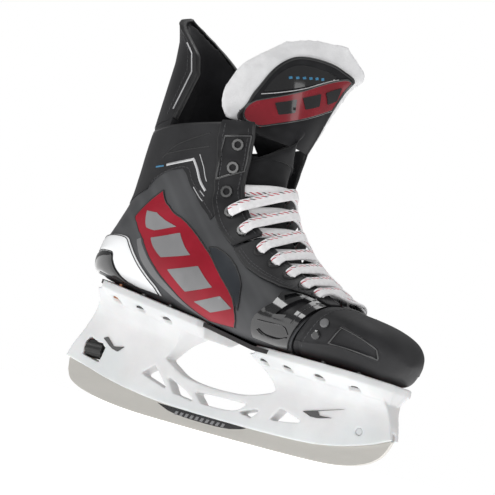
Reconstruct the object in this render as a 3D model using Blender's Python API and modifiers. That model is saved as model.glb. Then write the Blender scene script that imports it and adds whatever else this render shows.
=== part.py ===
"""Right-foot ice hockey skate: boot, blade holder, quick-release runner, flexing tongue and tendon guard.

Frame: +X to the toe, +Y to the medial side, +Z up. The origin is the middle of the runner's flat on the ice.
Outlines and sizes are in millimetres and are turned into metres where the meshes are made.
"""

import math

import bmesh
import bpy
import numpy as np
from mathutils import Matrix, Vector

MM = 0.001

# ---------------------------------------------------------------- driving dimensions, millimetres
GAP = 0.35
RUNNER_THICK = 3.0
CHANNEL_HALF = 1.85
RUNNER_COVER = 5.0  # how far the steel stands up inside the holder
SOLE_THICK = 3.0
FLANGE_THICK = 5.0
SHELL_THICK = 2.6
SHELL_OVER_SOLE = 4.0  # from the flange's top face to the boot shell's lowest line
TRIM_OVER = 0.9  # where a trim piece starts above the shell
TRIM_THICK = 2.0
LINER_FROM = -3.8
LINER_THICK = 4.4
TONGUE_FROM = -11.2
TONGUE_THICK = 4.4
PIVOT = (120.0, 27.5)  # runner's front hinge, X and Z
WHEEL_Z = 37.8
WHEEL_RADIUS = 7.0
EYELET_T = 0.91  # eyelet line across the shell, 1.0 is the throat edge
LACE_RADIUS = 1.1
TONGUE_HINGE = (2.0, 206.0)
GUARD_HINGE = (-109.5, 200.0)

# ---------------------------------------------------------------- scene and helpers


def clear_scene():
    for old in list(bpy.data.objects):
        bpy.data.objects.remove(old)


clear_scene()
PARTS = bpy.data.collections.new("hockey_skate")
CUTTERS = bpy.data.collections.new("cutters")
bpy.context.scene.collection.children.link(PARTS)
bpy.context.scene.collection.children.link(CUTTERS)


def material(name, colour, roughness, metallic=0.0):
    made = bpy.data.materials.new(name)
    made.use_nodes = True
    shader = made.node_tree.nodes["Principled BSDF"]
    shader.inputs["Base Color"].default_value = (*colour, 1.0)
    shader.inputs["Roughness"].default_value = roughness
    shader.inputs["Metallic"].default_value = metallic
    return made


NYLON = material("white_nylon", (0.82, 0.82, 0.81), 0.4)
STEEL = material("runner_steel", (0.72, 0.70, 0.66), 0.3, 1.0)
BOLT_STEEL = material("bolt_steel", (0.55, 0.55, 0.56), 0.35, 1.0)
COPPER = material("rivet_copper", (0.72, 0.40, 0.28), 0.35, 1.0)
COMPOSITE = material("composite_shell", (0.06, 0.06, 0.065), 0.45)
TOE_PLASTIC = material("toe_plastic", (0.05, 0.05, 0.055), 0.6)
GLOSS_BLACK = material("gloss_black", (0.012, 0.012, 0.013), 0.12)
WHITE_GLOSS = material("white_gloss", (0.80, 0.81, 0.82), 0.25)
SOLE = material("sole_composite", (0.03, 0.03, 0.032), 0.4)
FACING = material("facing_synthetic", (0.018, 0.018, 0.02), 0.55)
FELT = material("white_felt", (0.80, 0.80, 0.80), 0.95)
TONGUE_BLACK = material("tongue_synthetic", (0.02, 0.02, 0.022), 0.6)
RED = material("red_gloss", (0.35, 0.01, 0.03), 0.2)
LINING = material("black_lining", (0.02, 0.02, 0.024), 0.9)
LACE = material("white_lace", (0.82, 0.80, 0.80), 0.9)
WHEEL = material("black_wheel", (0.015, 0.015, 0.015), 0.5)


def mesh_object(name, bm, look, collection=PARTS):
    bmesh.ops.recalc_face_normals(bm, faces=bm.faces)
    mesh = bpy.data.meshes.new(name)
    bm.to_mesh(mesh)
    bm.free()
    made = bpy.data.objects.new(name, mesh)
    collection.objects.link(made)
    if look:
        mesh.materials.append(look)
    if collection is CUTTERS:
        made.hide_render = True
        made.display_type = "WIRE"
    return made


def smooth_shaded(made, angle=40):
    made.data.shade_smooth()
    made.data.set_sharp_from_angle(angle=math.radians(angle))
    return made


def set_origin(made, x, y, z):
    """Moves the object's origin onto its joint axis and leaves the mesh where it is."""
    shift = Vector((x, y, z)) * MM
    made.data.transform(Matrix.Translation(-shift))
    made.location = shift


def spline(points, s):
    """A Catmull-Rom curve through points, at a parameter that counts them from 0."""
    points = np.asarray(points, float)
    last = len(points) - 1
    i = int(min(max(math.floor(s), 0), last - 1))
    f = s - i
    before = points[i - 1] if i > 0 else 2 * points[0] - points[1]
    after = points[i + 2] if i + 2 <= last else 2 * points[last] - points[last - 1]
    a, b = points[i], points[i + 1]
    slope_a, slope_b = (b - before) / 2, (after - a) / 2
    return (
        (2 * f**3 - 3 * f**2 + 1) * a
        + (f**3 - 2 * f**2 + f) * slope_a
        + (3 * f**2 - 2 * f**3) * b
        + (f**3 - f**2) * slope_b
    )


def along(table, x):
    """Straight interpolation in a short list of (x, value) pairs."""
    xs, values = zip(*table)
    return float(np.interp(x, xs, values))


def grid_surface(name, point, rows, columns, thick, look, collection=PARTS):
    """An open surface point(row, column) made solid by Solidify, towards the side that row x column faces."""
    bm = bmesh.new()
    made = [[bm.verts.new(Vector(point(r, c)) * MM) for c in columns] for r in rows]
    for i in range(len(rows) - 1):
        for j in range(len(columns) - 1):
            bm.faces.new((made[i][j], made[i + 1][j], made[i + 1][j + 1], made[i][j + 1]))
    mesh = bpy.data.meshes.new(name)
    bm.to_mesh(mesh)
    bm.free()
    made = bpy.data.objects.new(name, mesh)
    collection.objects.link(made)
    mesh.materials.append(look)
    solid = made.modifiers.new("thickness", "SOLIDIFY")
    solid.thickness = thick * MM
    solid.offset = 1.0
    return smooth_shaded(made)


def lofted(name, sections, look, collection=PARTS):
    """A closed solid through sections with the same number of points, with a cap on each end."""
    bm = bmesh.new()
    rings = [[bm.verts.new(Vector(p) * MM) for p in section] for section in sections]
    count = len(rings[0])
    for low, high in zip(rings, rings[1:]):
        for k in range(count):
            n = (k + 1) % count
            bm.faces.new((low[k], low[n], high[n], high[k]))
    bm.faces.new(rings[0])
    bm.faces.new(rings[-1])
    return mesh_object(name, bm, look, collection)


def prism(name, outline, half, look=None, collection=CUTTERS, plane="XZ", turn=None):
    """A flat outline in the XZ or XY plane, extruded to both sides of it, as a mesh."""
    curve = bpy.data.curves.new(name, "CURVE")
    curve.dimensions = "2D"
    curve.fill_mode = "BOTH"
    curve.extrude = half * MM
    line = curve.splines.new("POLY")
    line.points.add(len(outline) - 1)
    for target, (a, b) in zip(line.points, outline):
        target.co = (a * MM, b * MM, 0, 1)
    line.use_cyclic_u = True
    drawn = bpy.data.objects.new(name + "_curve", curve)
    bpy.context.scene.collection.objects.link(drawn)
    if plane == "XZ":
        drawn.matrix_world = Matrix.Rotation(math.pi / 2, 4, "X")
    if turn is not None:
        drawn.matrix_world = turn
    bpy.context.view_layer.update()
    graph = bpy.context.evaluated_depsgraph_get()
    mesh = bpy.data.meshes.new_from_object(drawn.evaluated_get(graph))
    mesh.transform(drawn.matrix_world)
    bpy.data.objects.remove(drawn)
    bm = bmesh.new()
    bm.from_mesh(mesh)
    bpy.data.meshes.remove(mesh)
    bmesh.ops.remove_doubles(bm, verts=bm.verts, dist=1e-6)
    return mesh_object(name, bm, look, collection)


def rod(name, start, end, radius, look=None, collection=CUTTERS, sides=12):
    start, end = Vector(start) * MM, Vector(end) * MM
    bm = bmesh.new()
    turn = (end - start).to_track_quat("Z", "Y").to_matrix().to_4x4()
    bmesh.ops.create_cone(
        bm, cap_ends=True, segments=sides, radius1=radius * MM, radius2=radius * MM,
        depth=(end - start).length, matrix=Matrix.Translation((start + end) / 2) @ turn,
    )
    return mesh_object(name, bm, look, collection)


def turned(name, profile, centre, axis, look, sides=14, collection=PARTS):
    """A closed profile of (radius, height) turned about axis by a Screw modifier."""
    mesh = bpy.data.meshes.new(name)
    corners = [(r * MM, 0, h * MM) for r, h in profile]
    edges = [(i, (i + 1) % len(corners)) for i in range(len(corners))]
    if profile[0][0] == 0:
        edges.pop()
    mesh.from_pydata(corners, edges, [])
    mesh.materials.append(look)
    made = bpy.data.objects.new(name, mesh)
    collection.objects.link(made)
    turn = Vector(axis).to_track_quat("Z", "Y").to_matrix().to_4x4()
    made.matrix_world = Matrix.Translation(Vector(centre) * MM) @ turn
    screw = made.modifiers.new("turn", "SCREW")
    screw.steps = sides
    screw.render_steps = sides
    screw.use_merge_vertices = True
    screw.merge_threshold = 0.00001
    return made


def boolean(target, other, operation="DIFFERENCE"):
    cut = target.modifiers.new(other.name, "BOOLEAN")
    cut.operation = operation
    cut.object = other


# ---------------------------------------------------------------- the sole line and the boot's shape

FLANGE_LINE = [(-130, 85.6), (-10, 69.5), (38, 61.8), (146, 58.0)]


def flange_top(x):
    """Height of the holder's top faces, and of the arch between them."""
    return along(FLANGE_LINE, x)


def shell_low(x):
    return flange_top(x) + SHELL_OVER_SOLE


# Each station is a slanted section: its lowest or rearmost point, its crest over the instep, half width, half throat.
STATIONS = [
    # back x, back z, crest x, crest z, half width, half throat
    (72, shell_low(72), 92, 102.5, 47.0, 14),
    (52, shell_low(52), 81, 107.5, 48.0, 16.5),
    (32, shell_low(32), 70, 113, 47.5, 19.5),
    (12, shell_low(12), 59, 120, 45.5, 22.5),
    (-8, shell_low(-8), 47.5, 128, 43.0, 24.5),
    (-30, shell_low(-30), 37, 137, 41.0, 26),
    (-54, shell_low(-54), 28, 147, 39.5, 26.5),
    (-80, shell_low(-80), 21, 156, 38.5, 27),
    (-104, shell_low(-104) + 0.4, 16, 165, 38.0, 27),
    (-120, 89.8, 13, 173, 38.0, 27),
    (-127.5, 96, 11, 181, 38.5, 27.5),
    (-126.5, 109, 10, 188, 39.5, 28),
    (-119.5, 125, 9.5, 194, 40.0, 28.7),
    (-112, 144, 9.5, 200, 40.5, 29.5),
    (-110, 163, 10, 206, 41.0, 30.5),
    (-109, 181, 10.5, 212, 42.0, 31.5),
    (-107.5, 198, 11, 218, 43.0, 33),
    (-106.5, 214, 11.5, 231, 43.5, 33.5),
]
TOP = 16.0
FOOT_END, HEEL_START = 4.5, 10.5
CREST_POWER = 0.85


def lower_power(s):
    """How square the section is near the sole: flat under the foot, round behind the heel."""
    return along([(FOOT_END, 0.45), (HEEL_START, 0.8)], s)


def section(s, angle):
    """The whole closed section of the boot: angle 0 is its low back and pi its crest."""
    back_x, back_z, crest_x, crest_z, half, _ = spline(STATIONS, s)
    across, up = math.sin(angle), math.cos(angle)
    power = lower_power(s) if up > 0 else CREST_POWER
    y = math.copysign(half * abs(across) ** power, across)
    share = 0.5 - 0.5 * math.copysign(abs(up) ** 0.9, up)
    return np.array((back_x + share * (crest_x - back_x), y, back_z + share * (crest_z - back_z)))


def edge_angle(s):
    """The section's angle at the throat's edge."""
    half, throat = spline(STATIONS, s)[4:]
    return math.pi - math.asin((throat / half) ** (1 / CREST_POWER))


def section_normal(s, angle):
    step = 0.02
    along_boot = section(s + step, angle) - section(s - step, angle)
    round_boot = section(s, angle + step) - section(s, angle - step)
    normal = np.cross(along_boot, round_boot)
    return normal / np.linalg.norm(normal)


def boot_normal(s, t):
    return section_normal(s, t * edge_angle(s))


def boot(s, t, offset=0.0):
    """A point of the boot's outside: t is -1 at the lateral edge of the throat and 1 at the medial edge."""
    angle = t * edge_angle(s)
    return section(s, angle) + section_normal(s, angle) * offset


def boot_patch(name, rows, columns, low, thick, look):
    """A piece of the boot's surface from offset low, thick millimetres outwards."""
    return grid_surface(name, lambda s, t: boot(s, t, low), rows, columns, thick, look)


def quarter_shell():
    rows = [0.06, 1.3, 2.6, 3.9, 5.2, 6.3, 7.2, 7.9, 8.5, 9.0, 9.5, 10.0, 10.5, 11.0, 11.6, 12.3, 13.2, 14.3, TOP]
    columns = np.linspace(-0.865, 0.865, 21)
    return boot_patch("quarter_shell", rows, columns, -SHELL_THICK, SHELL_THICK, COMPOSITE)


def ankle_liner():
    rows = np.linspace(9.6, 15.7, 9)
    columns = np.linspace(-0.8, 0.8, 13)
    return boot_patch("ankle_liner", rows, columns, LINER_FROM - LINER_THICK, LINER_THICK, LINING)


# ---------------------------------------------------------------- toe cap

TOE_STATIONS = [
    # low x, low z, crest x, crest z, half width
    (73.2, shell_low(73), 93.2, 105, 47.2),
    (86, shell_low(86), 107, 103.5, 46.6),
    (100, shell_low(100), 119, 101, 44.5),
    (114, shell_low(114), 129.5, 97, 40.5),
    (125, shell_low(125), 136, 92, 34.0),
    (133, 63.5, 140, 86, 24.5),
    (138, 68, 141.6, 80.5, 13.0),
    (140.4, 72, 142, 77, 4.0),
]


def toe(s, t, offset=0.0):
    """The toe cap's dome; t runs once round, from the crest down to the sole and up again."""

    def raw(s, t):
        low_x, low_z, crest_x, crest_z, half = spline(TOE_STATIONS, s)
        angle = t * math.pi
        up = math.cos(angle)
        share = 0.5 - 0.5 * math.copysign(abs(up) ** 0.75, up)
        power = 0.5 if up > 0 else 0.62
        y = math.copysign(half * abs(math.sin(angle)) ** power, angle)
        return np.array((low_x + share * (crest_x - low_x), y, low_z + share * (crest_z - low_z)))

    if offset == 0.0:
        return raw(s, t)
    step = 0.02
    near = min(max(s, step), len(TOE_STATIONS) - 1 - step)
    ds = raw(near + step, t) - raw(near - step, t)
    dt = raw(near, t + step) - raw(near, t - step)
    normal = np.cross(dt, ds)
    return raw(s, t) + normal / np.linalg.norm(normal) * offset


def toe_cap():
    """A shell open to the rear: outer dome, inner dome and the rim between them."""
    steps = 18
    around = [-1 + 2 * (k + 0.5) / steps for k in range(steps)]
    rows = [0, 1, 2, 3, 4, 5, 6, 7]
    outer = [[toe(s, t) for t in around] for s in rows]
    centre = np.array((92.0, 0.0, 82.0))
    shrink = np.array((0.955, 0.943, 0.88))
    inner = [[centre + (np.array(p) - centre) * shrink for p in ring] for ring in outer]
    (low_x, low_z, crest_x, crest_z, _), *_ = TOE_STATIONS
    for p in inner[0]:
        p[0] = low_x + (p[2] - low_z) * (crest_x - low_x) / (crest_z - low_z)
    bm = bmesh.new()
    outside = [[bm.verts.new(Vector(p) * MM) for p in ring] for ring in outer]
    inside = [[bm.verts.new(Vector(p) * MM) for p in ring] for ring in inner]
    for layer in (outside, inside):
        for low, high in zip(layer, layer[1:]):
            for k in range(steps):
                n = (k + 1) % steps
                bm.faces.new((low[k], low[n], high[n], high[k]))
        bm.faces.new(layer[-1])
    for k in range(steps):
        n = (k + 1) % steps
        bm.faces.new((outside[0][k], outside[0][n], inside[0][n], inside[0][k]))
    return smooth_shaded(mesh_object("toe_cap", bm, TOE_PLASTIC))


# ---------------------------------------------------------------- trim pieces on the shell

# The heel's white band and black cup run from side to side; each line is (s, t) at even steps from the medial end.
BAND_UPPER = [(6.1, 0.24), (6.6, 0.33), (7.9, 0.44), (9.2, 0.49), (10.2, 0.47), (11.1, 0.30), (11.5, 0.0)]
BAND_LOWER = [(7.1, 0.22), (7.7, 0.24), (8.3, 0.29), (8.9, 0.34), (9.6, 0.37), (10.4, 0.25), (10.8, 0.0)]
CUP_BOTTOM = [(7.4, 0.20), (8.0, 0.20), (8.4, 0.205), (8.8, 0.20), (9.2, 0.17), (9.45, 0.10), (9.55, 0.0)]
HEEL_THICK = 1.7


def heel_line(half_line, w):
    """A point of a heel line: w runs from -1 at the lateral end, over 0 behind the heel, to 1."""
    s, t = spline(half_line, (1 - abs(w)) * (len(half_line) - 1))
    return np.array((s, math.copysign(t, w)))


def heel_piece(name, lower, upper, look, gap, rows, columns, over):
    def point(b, w):
        low, high = heel_line(lower, w), heel_line(upper, w)
        s, t = low + (high - low) * (gap + (1 - 2 * gap) * b)
        return boot(s, t, over)

    return grid_surface(name, point, np.linspace(0, 1, rows), np.linspace(-1, 1, columns), HEEL_THICK, look)


def heel_panel():
    return heel_piece("heel_panel", BAND_LOWER, BAND_UPPER, WHITE_GLOSS, 0.02, 3, 25, 1.2)


def heel_cup():
    return heel_piece("heel_cup", CUP_BOTTOM, BAND_LOWER, GLOSS_BLACK, 0.03, 4, 21, 1.7)


BRACKET_FRONT = 0.18
BRACKET_BACK = [(0.27, 1.6), (0.36, 1.9), (0.47, 2.1), (0.55, 2.0), (0.63, 1.9), (0.70, 2.0), (0.75, 2.1), (0.86, 1.2)]


def side_bracket(side, name):
    def point(b, t):
        return boot(BRACKET_FRONT + (along(BRACKET_BACK, abs(t)) - BRACKET_FRONT) * b, t, TRIM_OVER)

    columns = sorted(np.linspace(0.28, 0.84, 7) * side)
    return grid_surface(name, point, np.linspace(0, 1, 5), columns, TRIM_THICK, GLOSS_BLACK)


UPPER_ROWS, LOWER_ROWS = (6.0, 16.2), (0.35, 5.85)
UPPER_OUTER = [(6.0, 0.80), (8.5, 0.84), (10.5, 0.85), (15.0, 0.79), (16.2, 0.80)]
LOWER_OUTER = [(0.35, 0.90), (1.5, 0.865), (2.7, 0.78), (3.7, 0.752), (4.6, 0.755), (5.85, 0.79)]
UPPER_EYELETS = [14.25, 12.3, 10.1, 8.2, 6.65]
LOWER_EYELETS = [5.15, 4.15, 3.15, 2.2, 1.3]


def facing(side, span, outer, name):
    def point(s, b):
        edge = along(outer, s)
        return boot(s, (edge + (0.985 - edge) * abs(b)) * side, TRIM_OVER)

    columns = sorted(np.linspace(0, 1, 4) * side)
    return grid_surface(name, point, np.linspace(*span, 10), columns, TRIM_THICK, FACING)


def eyelet(name, s, side):
    t = EYELET_T * side
    top = TRIM_OVER + TRIM_THICK + GAP
    outline = [(2.55, 1.0), (4.2, 1.0), (4.6, 0.0), (3.0, 0.0), (3.0, -2.9), (2.55, -2.9)]
    return turned(name, outline, boot(s, t, top), boot_normal(s, t), BOLT_STEEL, 10)


def vent(name, s, t, look):
    """A rivet-like button on the toe cap's flank."""
    base = toe(s, t, 0.4)
    normal = Vector(toe(s, t, 1.4) - toe(s, t, 0.4)).normalized()
    outline = [(0, 1.2), (2.2, 1.2), (3.2, 0.7), (3.2, 0.0), (0, 0.0)]
    return turned(name, outline, base, normal, look, 10)


# ---------------------------------------------------------------- outsole and footbed

SOLE_HALF = [
    (-129, 8), (-124, 18), (-114, 26), (-90, 30), (-50, 30), (-15, 28), (15, 31), (50, 38),
    (85, 40.5), (110, 38), (125, 31), (134, 20), (139, 8),
]


def sole_plate(name, stations, low, thick, inset, look):
    sections = []
    for x in stations:
        half, z = along(SOLE_HALF, x) - along(inset, x), flange_top(x) + low
        sections.append([(x, -half, z), (x, half, z), (x, half, z + thick), (x, -half, z + thick)])
    return lofted(name, sections, look)


def outsole():
    xs = [x for x, _ in SOLE_HALF] + [-10.0, 38.0]
    return sole_plate("outsole", sorted(xs), GAP, SOLE_THICK, [(0, 0)], SOLE)


def footbed():
    xs = [-98, -90, -50, -10, 15, 38, 60, 85, 103, 114]
    low = SHELL_OVER_SOLE + SHELL_THICK + 3.0
    inset = [(-98, 14), (-60, 10), (0, 7), (50, 9), (85, 13), (114, 17)]
    return sole_plate("footbed", xs, low, 3.0, inset, LINING)


# ---------------------------------------------------------------- holder

STEEL_LINE = [
    (-140, 28), (-120, 24), (-100, 19.5), (-80, 16), (-60, 13.5), (-40, 12), (-20, 11.2), (0, 10.8),
    (40, 10.5), (70, 11), (90, 12.2), (110, 15.5), (130, 21), (145, 27),
]
REAR_PILLAR_BACK = [(-116.5, 80), (-116, 74), (-121, 66), (-128, 52), (-136, 38)]
REAR_PILLAR_FRONT = [(-31, 69), (-49.5, 43.5)]
BRIDGE_TOP = [(-41, 39), (-32, 35), (-20, 32.6), (0, 31.5), (20, 32), (34, 34.5), (45, 38)]
FRONT_PILLAR_BACK = [(49, 40), (45, 47), (38, 55), (32, 60)]
FRONT_PILLAR_FRONT = [(136, 56), (136.5, 51), (139, 45), (143, 35)]
WINDOWS = {
    "window_rear": [(-67, 28.5), (-67, 30.5), (-58, 37.5), (-56, 36), (-49, 24), (-51, 22.6)],
    "window_slit": [(-42.5, 31.5), (-38, 22.0), (-36, 21.2), (-27, 20.2), (-31, 29.0)],
    "window_long": [(-22, 27.4), (-20, 27.6), (0, 27), (11, 26.2), (14.5, 24.5), (4, 19.2), (-11, 19)],
    "window_small": [(20.5, 19.0), (37, 25.0), (38, 24), (34.5, 18.8)],
    "window_front": [(47.5, 19.5), (56, 29.8), (59, 29.8), (70, 27), (73.5, 24.5), (71, 22.3)],
}
WHEEL_WINDOW = [(-122, 46), (-105.5, 40.5), (-108, 28.8), (-125, 32)]
REAR_FLANGE = [
    (-122, -8), (-119, -16), (-110, -25), (-98, -31.5), (-70, -32), (-40, -31), (-14, -28.5),
    (-10, -24), (-14, 0), (-10, 24), (-14, 28.5), (-40, 31), (-70, 32), (-98, 31.5), (-110, 25),
    (-119, 16), (-122, 8),
]
FRONT_FLANGE = [
    (141, -8), (138, -17), (130, -31), (118, -37.5), (98, -40), (75, -39.5), (52, -34), (39, -28.5),
    (35, -22), (38, 0), (35, 22), (39, 28.5), (52, 34), (75, 39.5), (98, 40), (118, 37.5), (130, 31),
    (138, 17), (141, 8),
]


def steel_line(x):
    return along(STEEL_LINE, x)


def side_outline():
    top = FRONT_PILLAR_FRONT[::-1] + [(136, flange_top(136) - 2)]
    top += [(32, flange_top(32) - 2)] + FRONT_PILLAR_BACK[::-1] + BRIDGE_TOP[::-1]
    top += REAR_PILLAR_FRONT[::-1] + [(-26, flange_top(-26) - 2), (-116.5, flange_top(-116.5) - 2)]
    top += REAR_PILLAR_BACK
    return STEEL_LINE + list(dict.fromkeys(top))


FLARE = [(0.0, 5.4), (0.3, 6.0), (0.46, 7.2), (0.62, 9.5), (0.76, 14.0), (0.88, 22.0), (1.0, 30.0)]


def holder_envelope():
    """The body that gives the pillars their flare towards the flanges."""
    sections = []
    for x in (-150, -122, -100, -50, -20, 10, 40, 60, 100, 125, 150):
        top = flange_top(x) + 1
        narrow = along([(-150, 0.3), (-120, 0.62), (-100, 1), (100, 1.12), (125, 0.8), (150, 0.35)], x)
        side = []
        for share, half in FLARE:
            wide = 5.4 + (half - 5.4) * narrow
            side.append((x, wide, 4 + share * (top - 4)))
        mirrored = [(a, -b, c) for a, b, c in side[::-1]]
        sections.append(side + mirrored)
    return lofted("holder_envelope", sections, None, CUTTERS)


def flange_plate(name, outline, x_from, x_to):
    """A flange's flat plate, tilted to follow the sole."""
    z_from, z_to = flange_top(x_from), flange_top(x_to)
    slope = math.atan2(z_from - z_to, x_to - x_from)
    middle = (x_from + x_to) / 2
    z_middle = (z_from + z_to) / 2
    turn = (
        Matrix.Translation(Vector((middle, 0, z_middle)) * MM)
        @ Matrix.Rotation(slope, 4, "Y")
        @ Matrix.Translation(Vector((-middle, 0, -FLANGE_THICK / 2)) * MM)
    )
    return prism(name, outline, FLANGE_THICK / 2, plane="XY", turn=turn)


REAR_RIVETS = [(-92, 24), (-68, 26), (-43, 25.5)]
FRONT_RIVETS = [(46, 25), (69, 30), (96, 32), (121, 26)]


def rivet_sites():
    """Each rivet's name, x and y."""
    for label, sites in (("rear", REAR_RIVETS), ("front", FRONT_RIVETS)):
        for side, word in ((-1, "lateral"), (1, "medial")):
            for number, (x, half) in enumerate(sites, 1):
                yield f"rivet_{label}_{word}_{number}", x, half * side


def rivet(name, x, y):
    """A steel rivet from under the flange up through the outsole and the shell's floor."""
    z = flange_top(x)
    low = -FLANGE_THICK + 1.6
    outline = [(0, 6.2), (1.6, 6.2), (1.6, low + 0.1), (3.1, low), (3.1, low - 1.2), (0, low - 1.4)]
    look = COPPER if "rear" in name and name.endswith("1") else BOLT_STEEL
    return turned(name, outline, (x, y, z), (0, 0, 1), look, 8)


def rivet_cutters():
    for name, x, y in rivet_sites():
        z = flange_top(x)
        yield rod(f"bore_{name}", (x, y, z - 12), (x, y, z + 6.99), 2.0, sides=8)
        yield rod(f"seat_{name}", (x, y, z - 26), (x, y, z - FLANGE_THICK + 1.9), 4.0, sides=10)


def runner_top(x):
    return steel_line(x) + RUNNER_COVER


TAB_BACK, TAB_FRONT = -105.0, -90.0
NOTCH = (-102.2, -94.4)
TAB_TOP, NOTCH_FLOOR = 35.0, 31.6
JAW_TOP = 32.8
NOTCH_RADIUS = 2.75


def runner_upper_edge():
    """From the rear corner to the front corner, with the rear tab and the front hook."""
    edge = [(-139, 27.2), (-136, runner_top(-136) - 4), (-128, runner_top(-128)), (TAB_BACK, runner_top(TAB_BACK))]
    edge += [(TAB_BACK, TAB_TOP), (NOTCH[0], TAB_TOP), (NOTCH[0], NOTCH_FLOOR)]
    edge += [(NOTCH[1], NOTCH_FLOOR), (NOTCH[1], TAB_TOP), (TAB_FRONT, TAB_TOP)]
    edge += [(x, runner_top(x)) for x in (TAB_FRONT, -60, -30, 0, 40, 80, 104)]
    edge += [(112, JAW_TOP - 2), (114, JAW_TOP), (121.5, JAW_TOP), (121.5, PIVOT[1] + NOTCH_RADIUS)]
    for step in range(7):
        angle = math.radians(90 + 30 * step)
        edge.append((PIVOT[0] + NOTCH_RADIUS * math.cos(angle), PIVOT[1] + NOTCH_RADIUS * math.sin(angle)))
    edge += [(130, runner_top(130) - 1.2), (138, 27), (144, 26.5)]
    return edge


RUNNER_BOTTOM = [
    (143.5, 24), (141.5, 19), (138, 14), (132, 9.5), (124, 6), (114, 3.4), (102, 1.6), (85, 0.7),
    (60, 0.25), (12, 0), (-12, 0), (-60, 0.5), (-85, 1.7), (-105, 3.9), (-120, 6.8), (-129, 9.8),
    (-134, 13), (-137.5, 18.5),
]


def runner():
    outline = runner_upper_edge() + RUNNER_BOTTOM
    made = prism("runner", outline, RUNNER_THICK / 2, STEEL, PARTS)
    set_origin(made, PIVOT[0], 0, PIVOT[1])
    return made


def channel():
    """The slot in the holder that takes the runner, with room ahead of the pivot for its swing."""
    edge = [(-148, 0), (-148, 33), (-136, 33), (-126, runner_top(-126) + 0.6)]
    edge += [(TAB_BACK - 0.8, runner_top(TAB_BACK) + 0.6), (TAB_BACK - 0.8, 41), (TAB_FRONT + 1, 41)]
    edge += [(TAB_FRONT + 1, runner_top(TAB_FRONT) + 1)]
    edge += [(x, runner_top(x) + 0.6) for x in (-60, -30, 0, 40, 80, 103)]
    edge += [(110, JAW_TOP), (113, JAW_TOP + 1.2), (124, JAW_TOP + 1.2), (134, 31.5), (150, 31.5), (150, 0)]
    return prism("runner_channel", edge, CHANNEL_HALF)


def holder():
    made = prism("holder", side_outline(), 42, NYLON, PARTS)
    boolean(made, holder_envelope(), "INTERSECT")
    for name, outline in WINDOWS.items():
        boolean(made, prism(name, outline, 45))
    boolean(made, prism("window_wheel", WHEEL_WINDOW, 45))
    boolean(made, flange_plate("flange_rear", REAR_FLANGE, -130, -10), "UNION")
    boolean(made, flange_plate("flange_front", FRONT_FLANGE, 38, 146), "UNION")
    boolean(made, channel())
    wheel_room = (-124.4, 0, WHEEL_Z), (-107.6, 0, WHEEL_Z)
    boolean(made, rod("wheel_room", *wheel_room, WHEEL_RADIUS + 0.5, sides=24))
    boolean(made, rod("bolt_room", (-128, 0, WHEEL_Z), (-95, 0, WHEEL_Z), 2.6, sides=16))
    boolean(made, rod("pin_bore", (PIVOT[0], -20, PIVOT[1]), (PIVOT[0], 20, PIVOT[1]), 2.65, sides=16))
    return made


# ---------------------------------------------------------------- runner lock


def lock_wheel():
    """Ribbed thumbwheel on a fore-and-aft axis, seen through the window of the rear pillar."""
    ribs = 20
    outline = []
    for k in range(ribs * 2):
        angle = math.pi * (k + 0.5) / ribs
        radius = WHEEL_RADIUS if k % 4 < 2 else WHEEL_RADIUS - 0.7
        outline.append((radius * math.cos(angle), radius * math.sin(angle)))
    bore = [(2.5 * math.cos(a), 2.5 * math.sin(a)) for a in np.linspace(0, 2 * math.pi, 13)[:-1]]
    front, back = -108.4, -123.4
    wheel = lofted(
        "lock_wheel", [[(x, y, z + WHEEL_Z) for y, z in outline] for x in (back, front)], WHEEL
    )
    hole = lofted(
        "wheel_bore", [[(x, y, z + WHEEL_Z) for y, z in bore] for x in (back - 1, front + 1)], None, CUTTERS
    )
    boolean(wheel, hole)
    set_origin(wheel, (front + back) / 2, 0, WHEEL_Z)
    return wheel


def lock_hook():
    """The bolt that the wheel drives fore and aft, with the tooth that holds the runner's tab."""
    bolt = rod("lock_hook", (-122, 0, WHEEL_Z), (-98.8, 0, WHEEL_Z), 2.0, WHEEL, PARTS, 12)
    tooth_outline = [(-101.6, 32.2), (-98.8, 32.2), (-98.8, WHEEL_Z + 1), (-101.6, WHEEL_Z + 1)]
    boolean(bolt, prism("hook_tooth", tooth_outline, 1.3), "UNION")
    set_origin(bolt, -110, 0, WHEEL_Z)
    return bolt


def front_pin():
    return rod(
        "front_pin", (PIVOT[0], -5.0, PIVOT[1]), (PIVOT[0], 5.0, PIVOT[1]), 2.3, BOLT_STEEL, PARTS, 16
    )


# ---------------------------------------------------------------- tongue


def tongue_base():
    """The tongue under the laces, from the vamp up to the flexing top."""
    rows = np.linspace(0.5, 13.2, 11)
    columns = np.linspace(-1, 1, 9)

    def point(s, u):
        angle = math.pi + u * (math.pi - 0.86 * edge_angle(s))
        return section(s, angle) + section_normal(s, angle) * TONGUE_FROM

    return grid_surface("tongue_base", point, rows, columns, TONGUE_THICK, TONGUE_BLACK)


# Rows up the tongue: lateral edge, middle and medial edge. It leans and turns towards the lateral side.
TONGUE_ROWS = [
    ((-9, -25, 207.5), (4, -1, 208), (1, 23, 208.5)),
    ((-30, -34, 221), (5, -2, 221), (4, 27, 224)),
    ((-34, -36.5, 233), (3, -2, 237), (7.5, 31.5, 243)),
    ((-33, -34, 247), (1, -1, 254), (11, 38, 262)),
    ((-29.5, -27, 263), (-3, 1, 272), (16, 43, 278)),
    ((-19, -9, 283), (-7, 6, 290), (8, 28, 293)),
]


def tongue_raw(u, v):
    lateral, middle, medial = (spline([row[k] for row in TONGUE_ROWS], v * 5) for k in range(3))
    return spline([lateral, middle, medial], u + 1)


def tongue_point(u, v, offset):
    step = 0.02
    du = tongue_raw(u + step, v) - tongue_raw(u - step, v)
    dv = tongue_raw(u, v + step) - tongue_raw(u, v - step)
    normal = np.cross(du, dv)
    return tongue_raw(u, v) + normal / np.linalg.norm(normal) * offset


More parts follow.
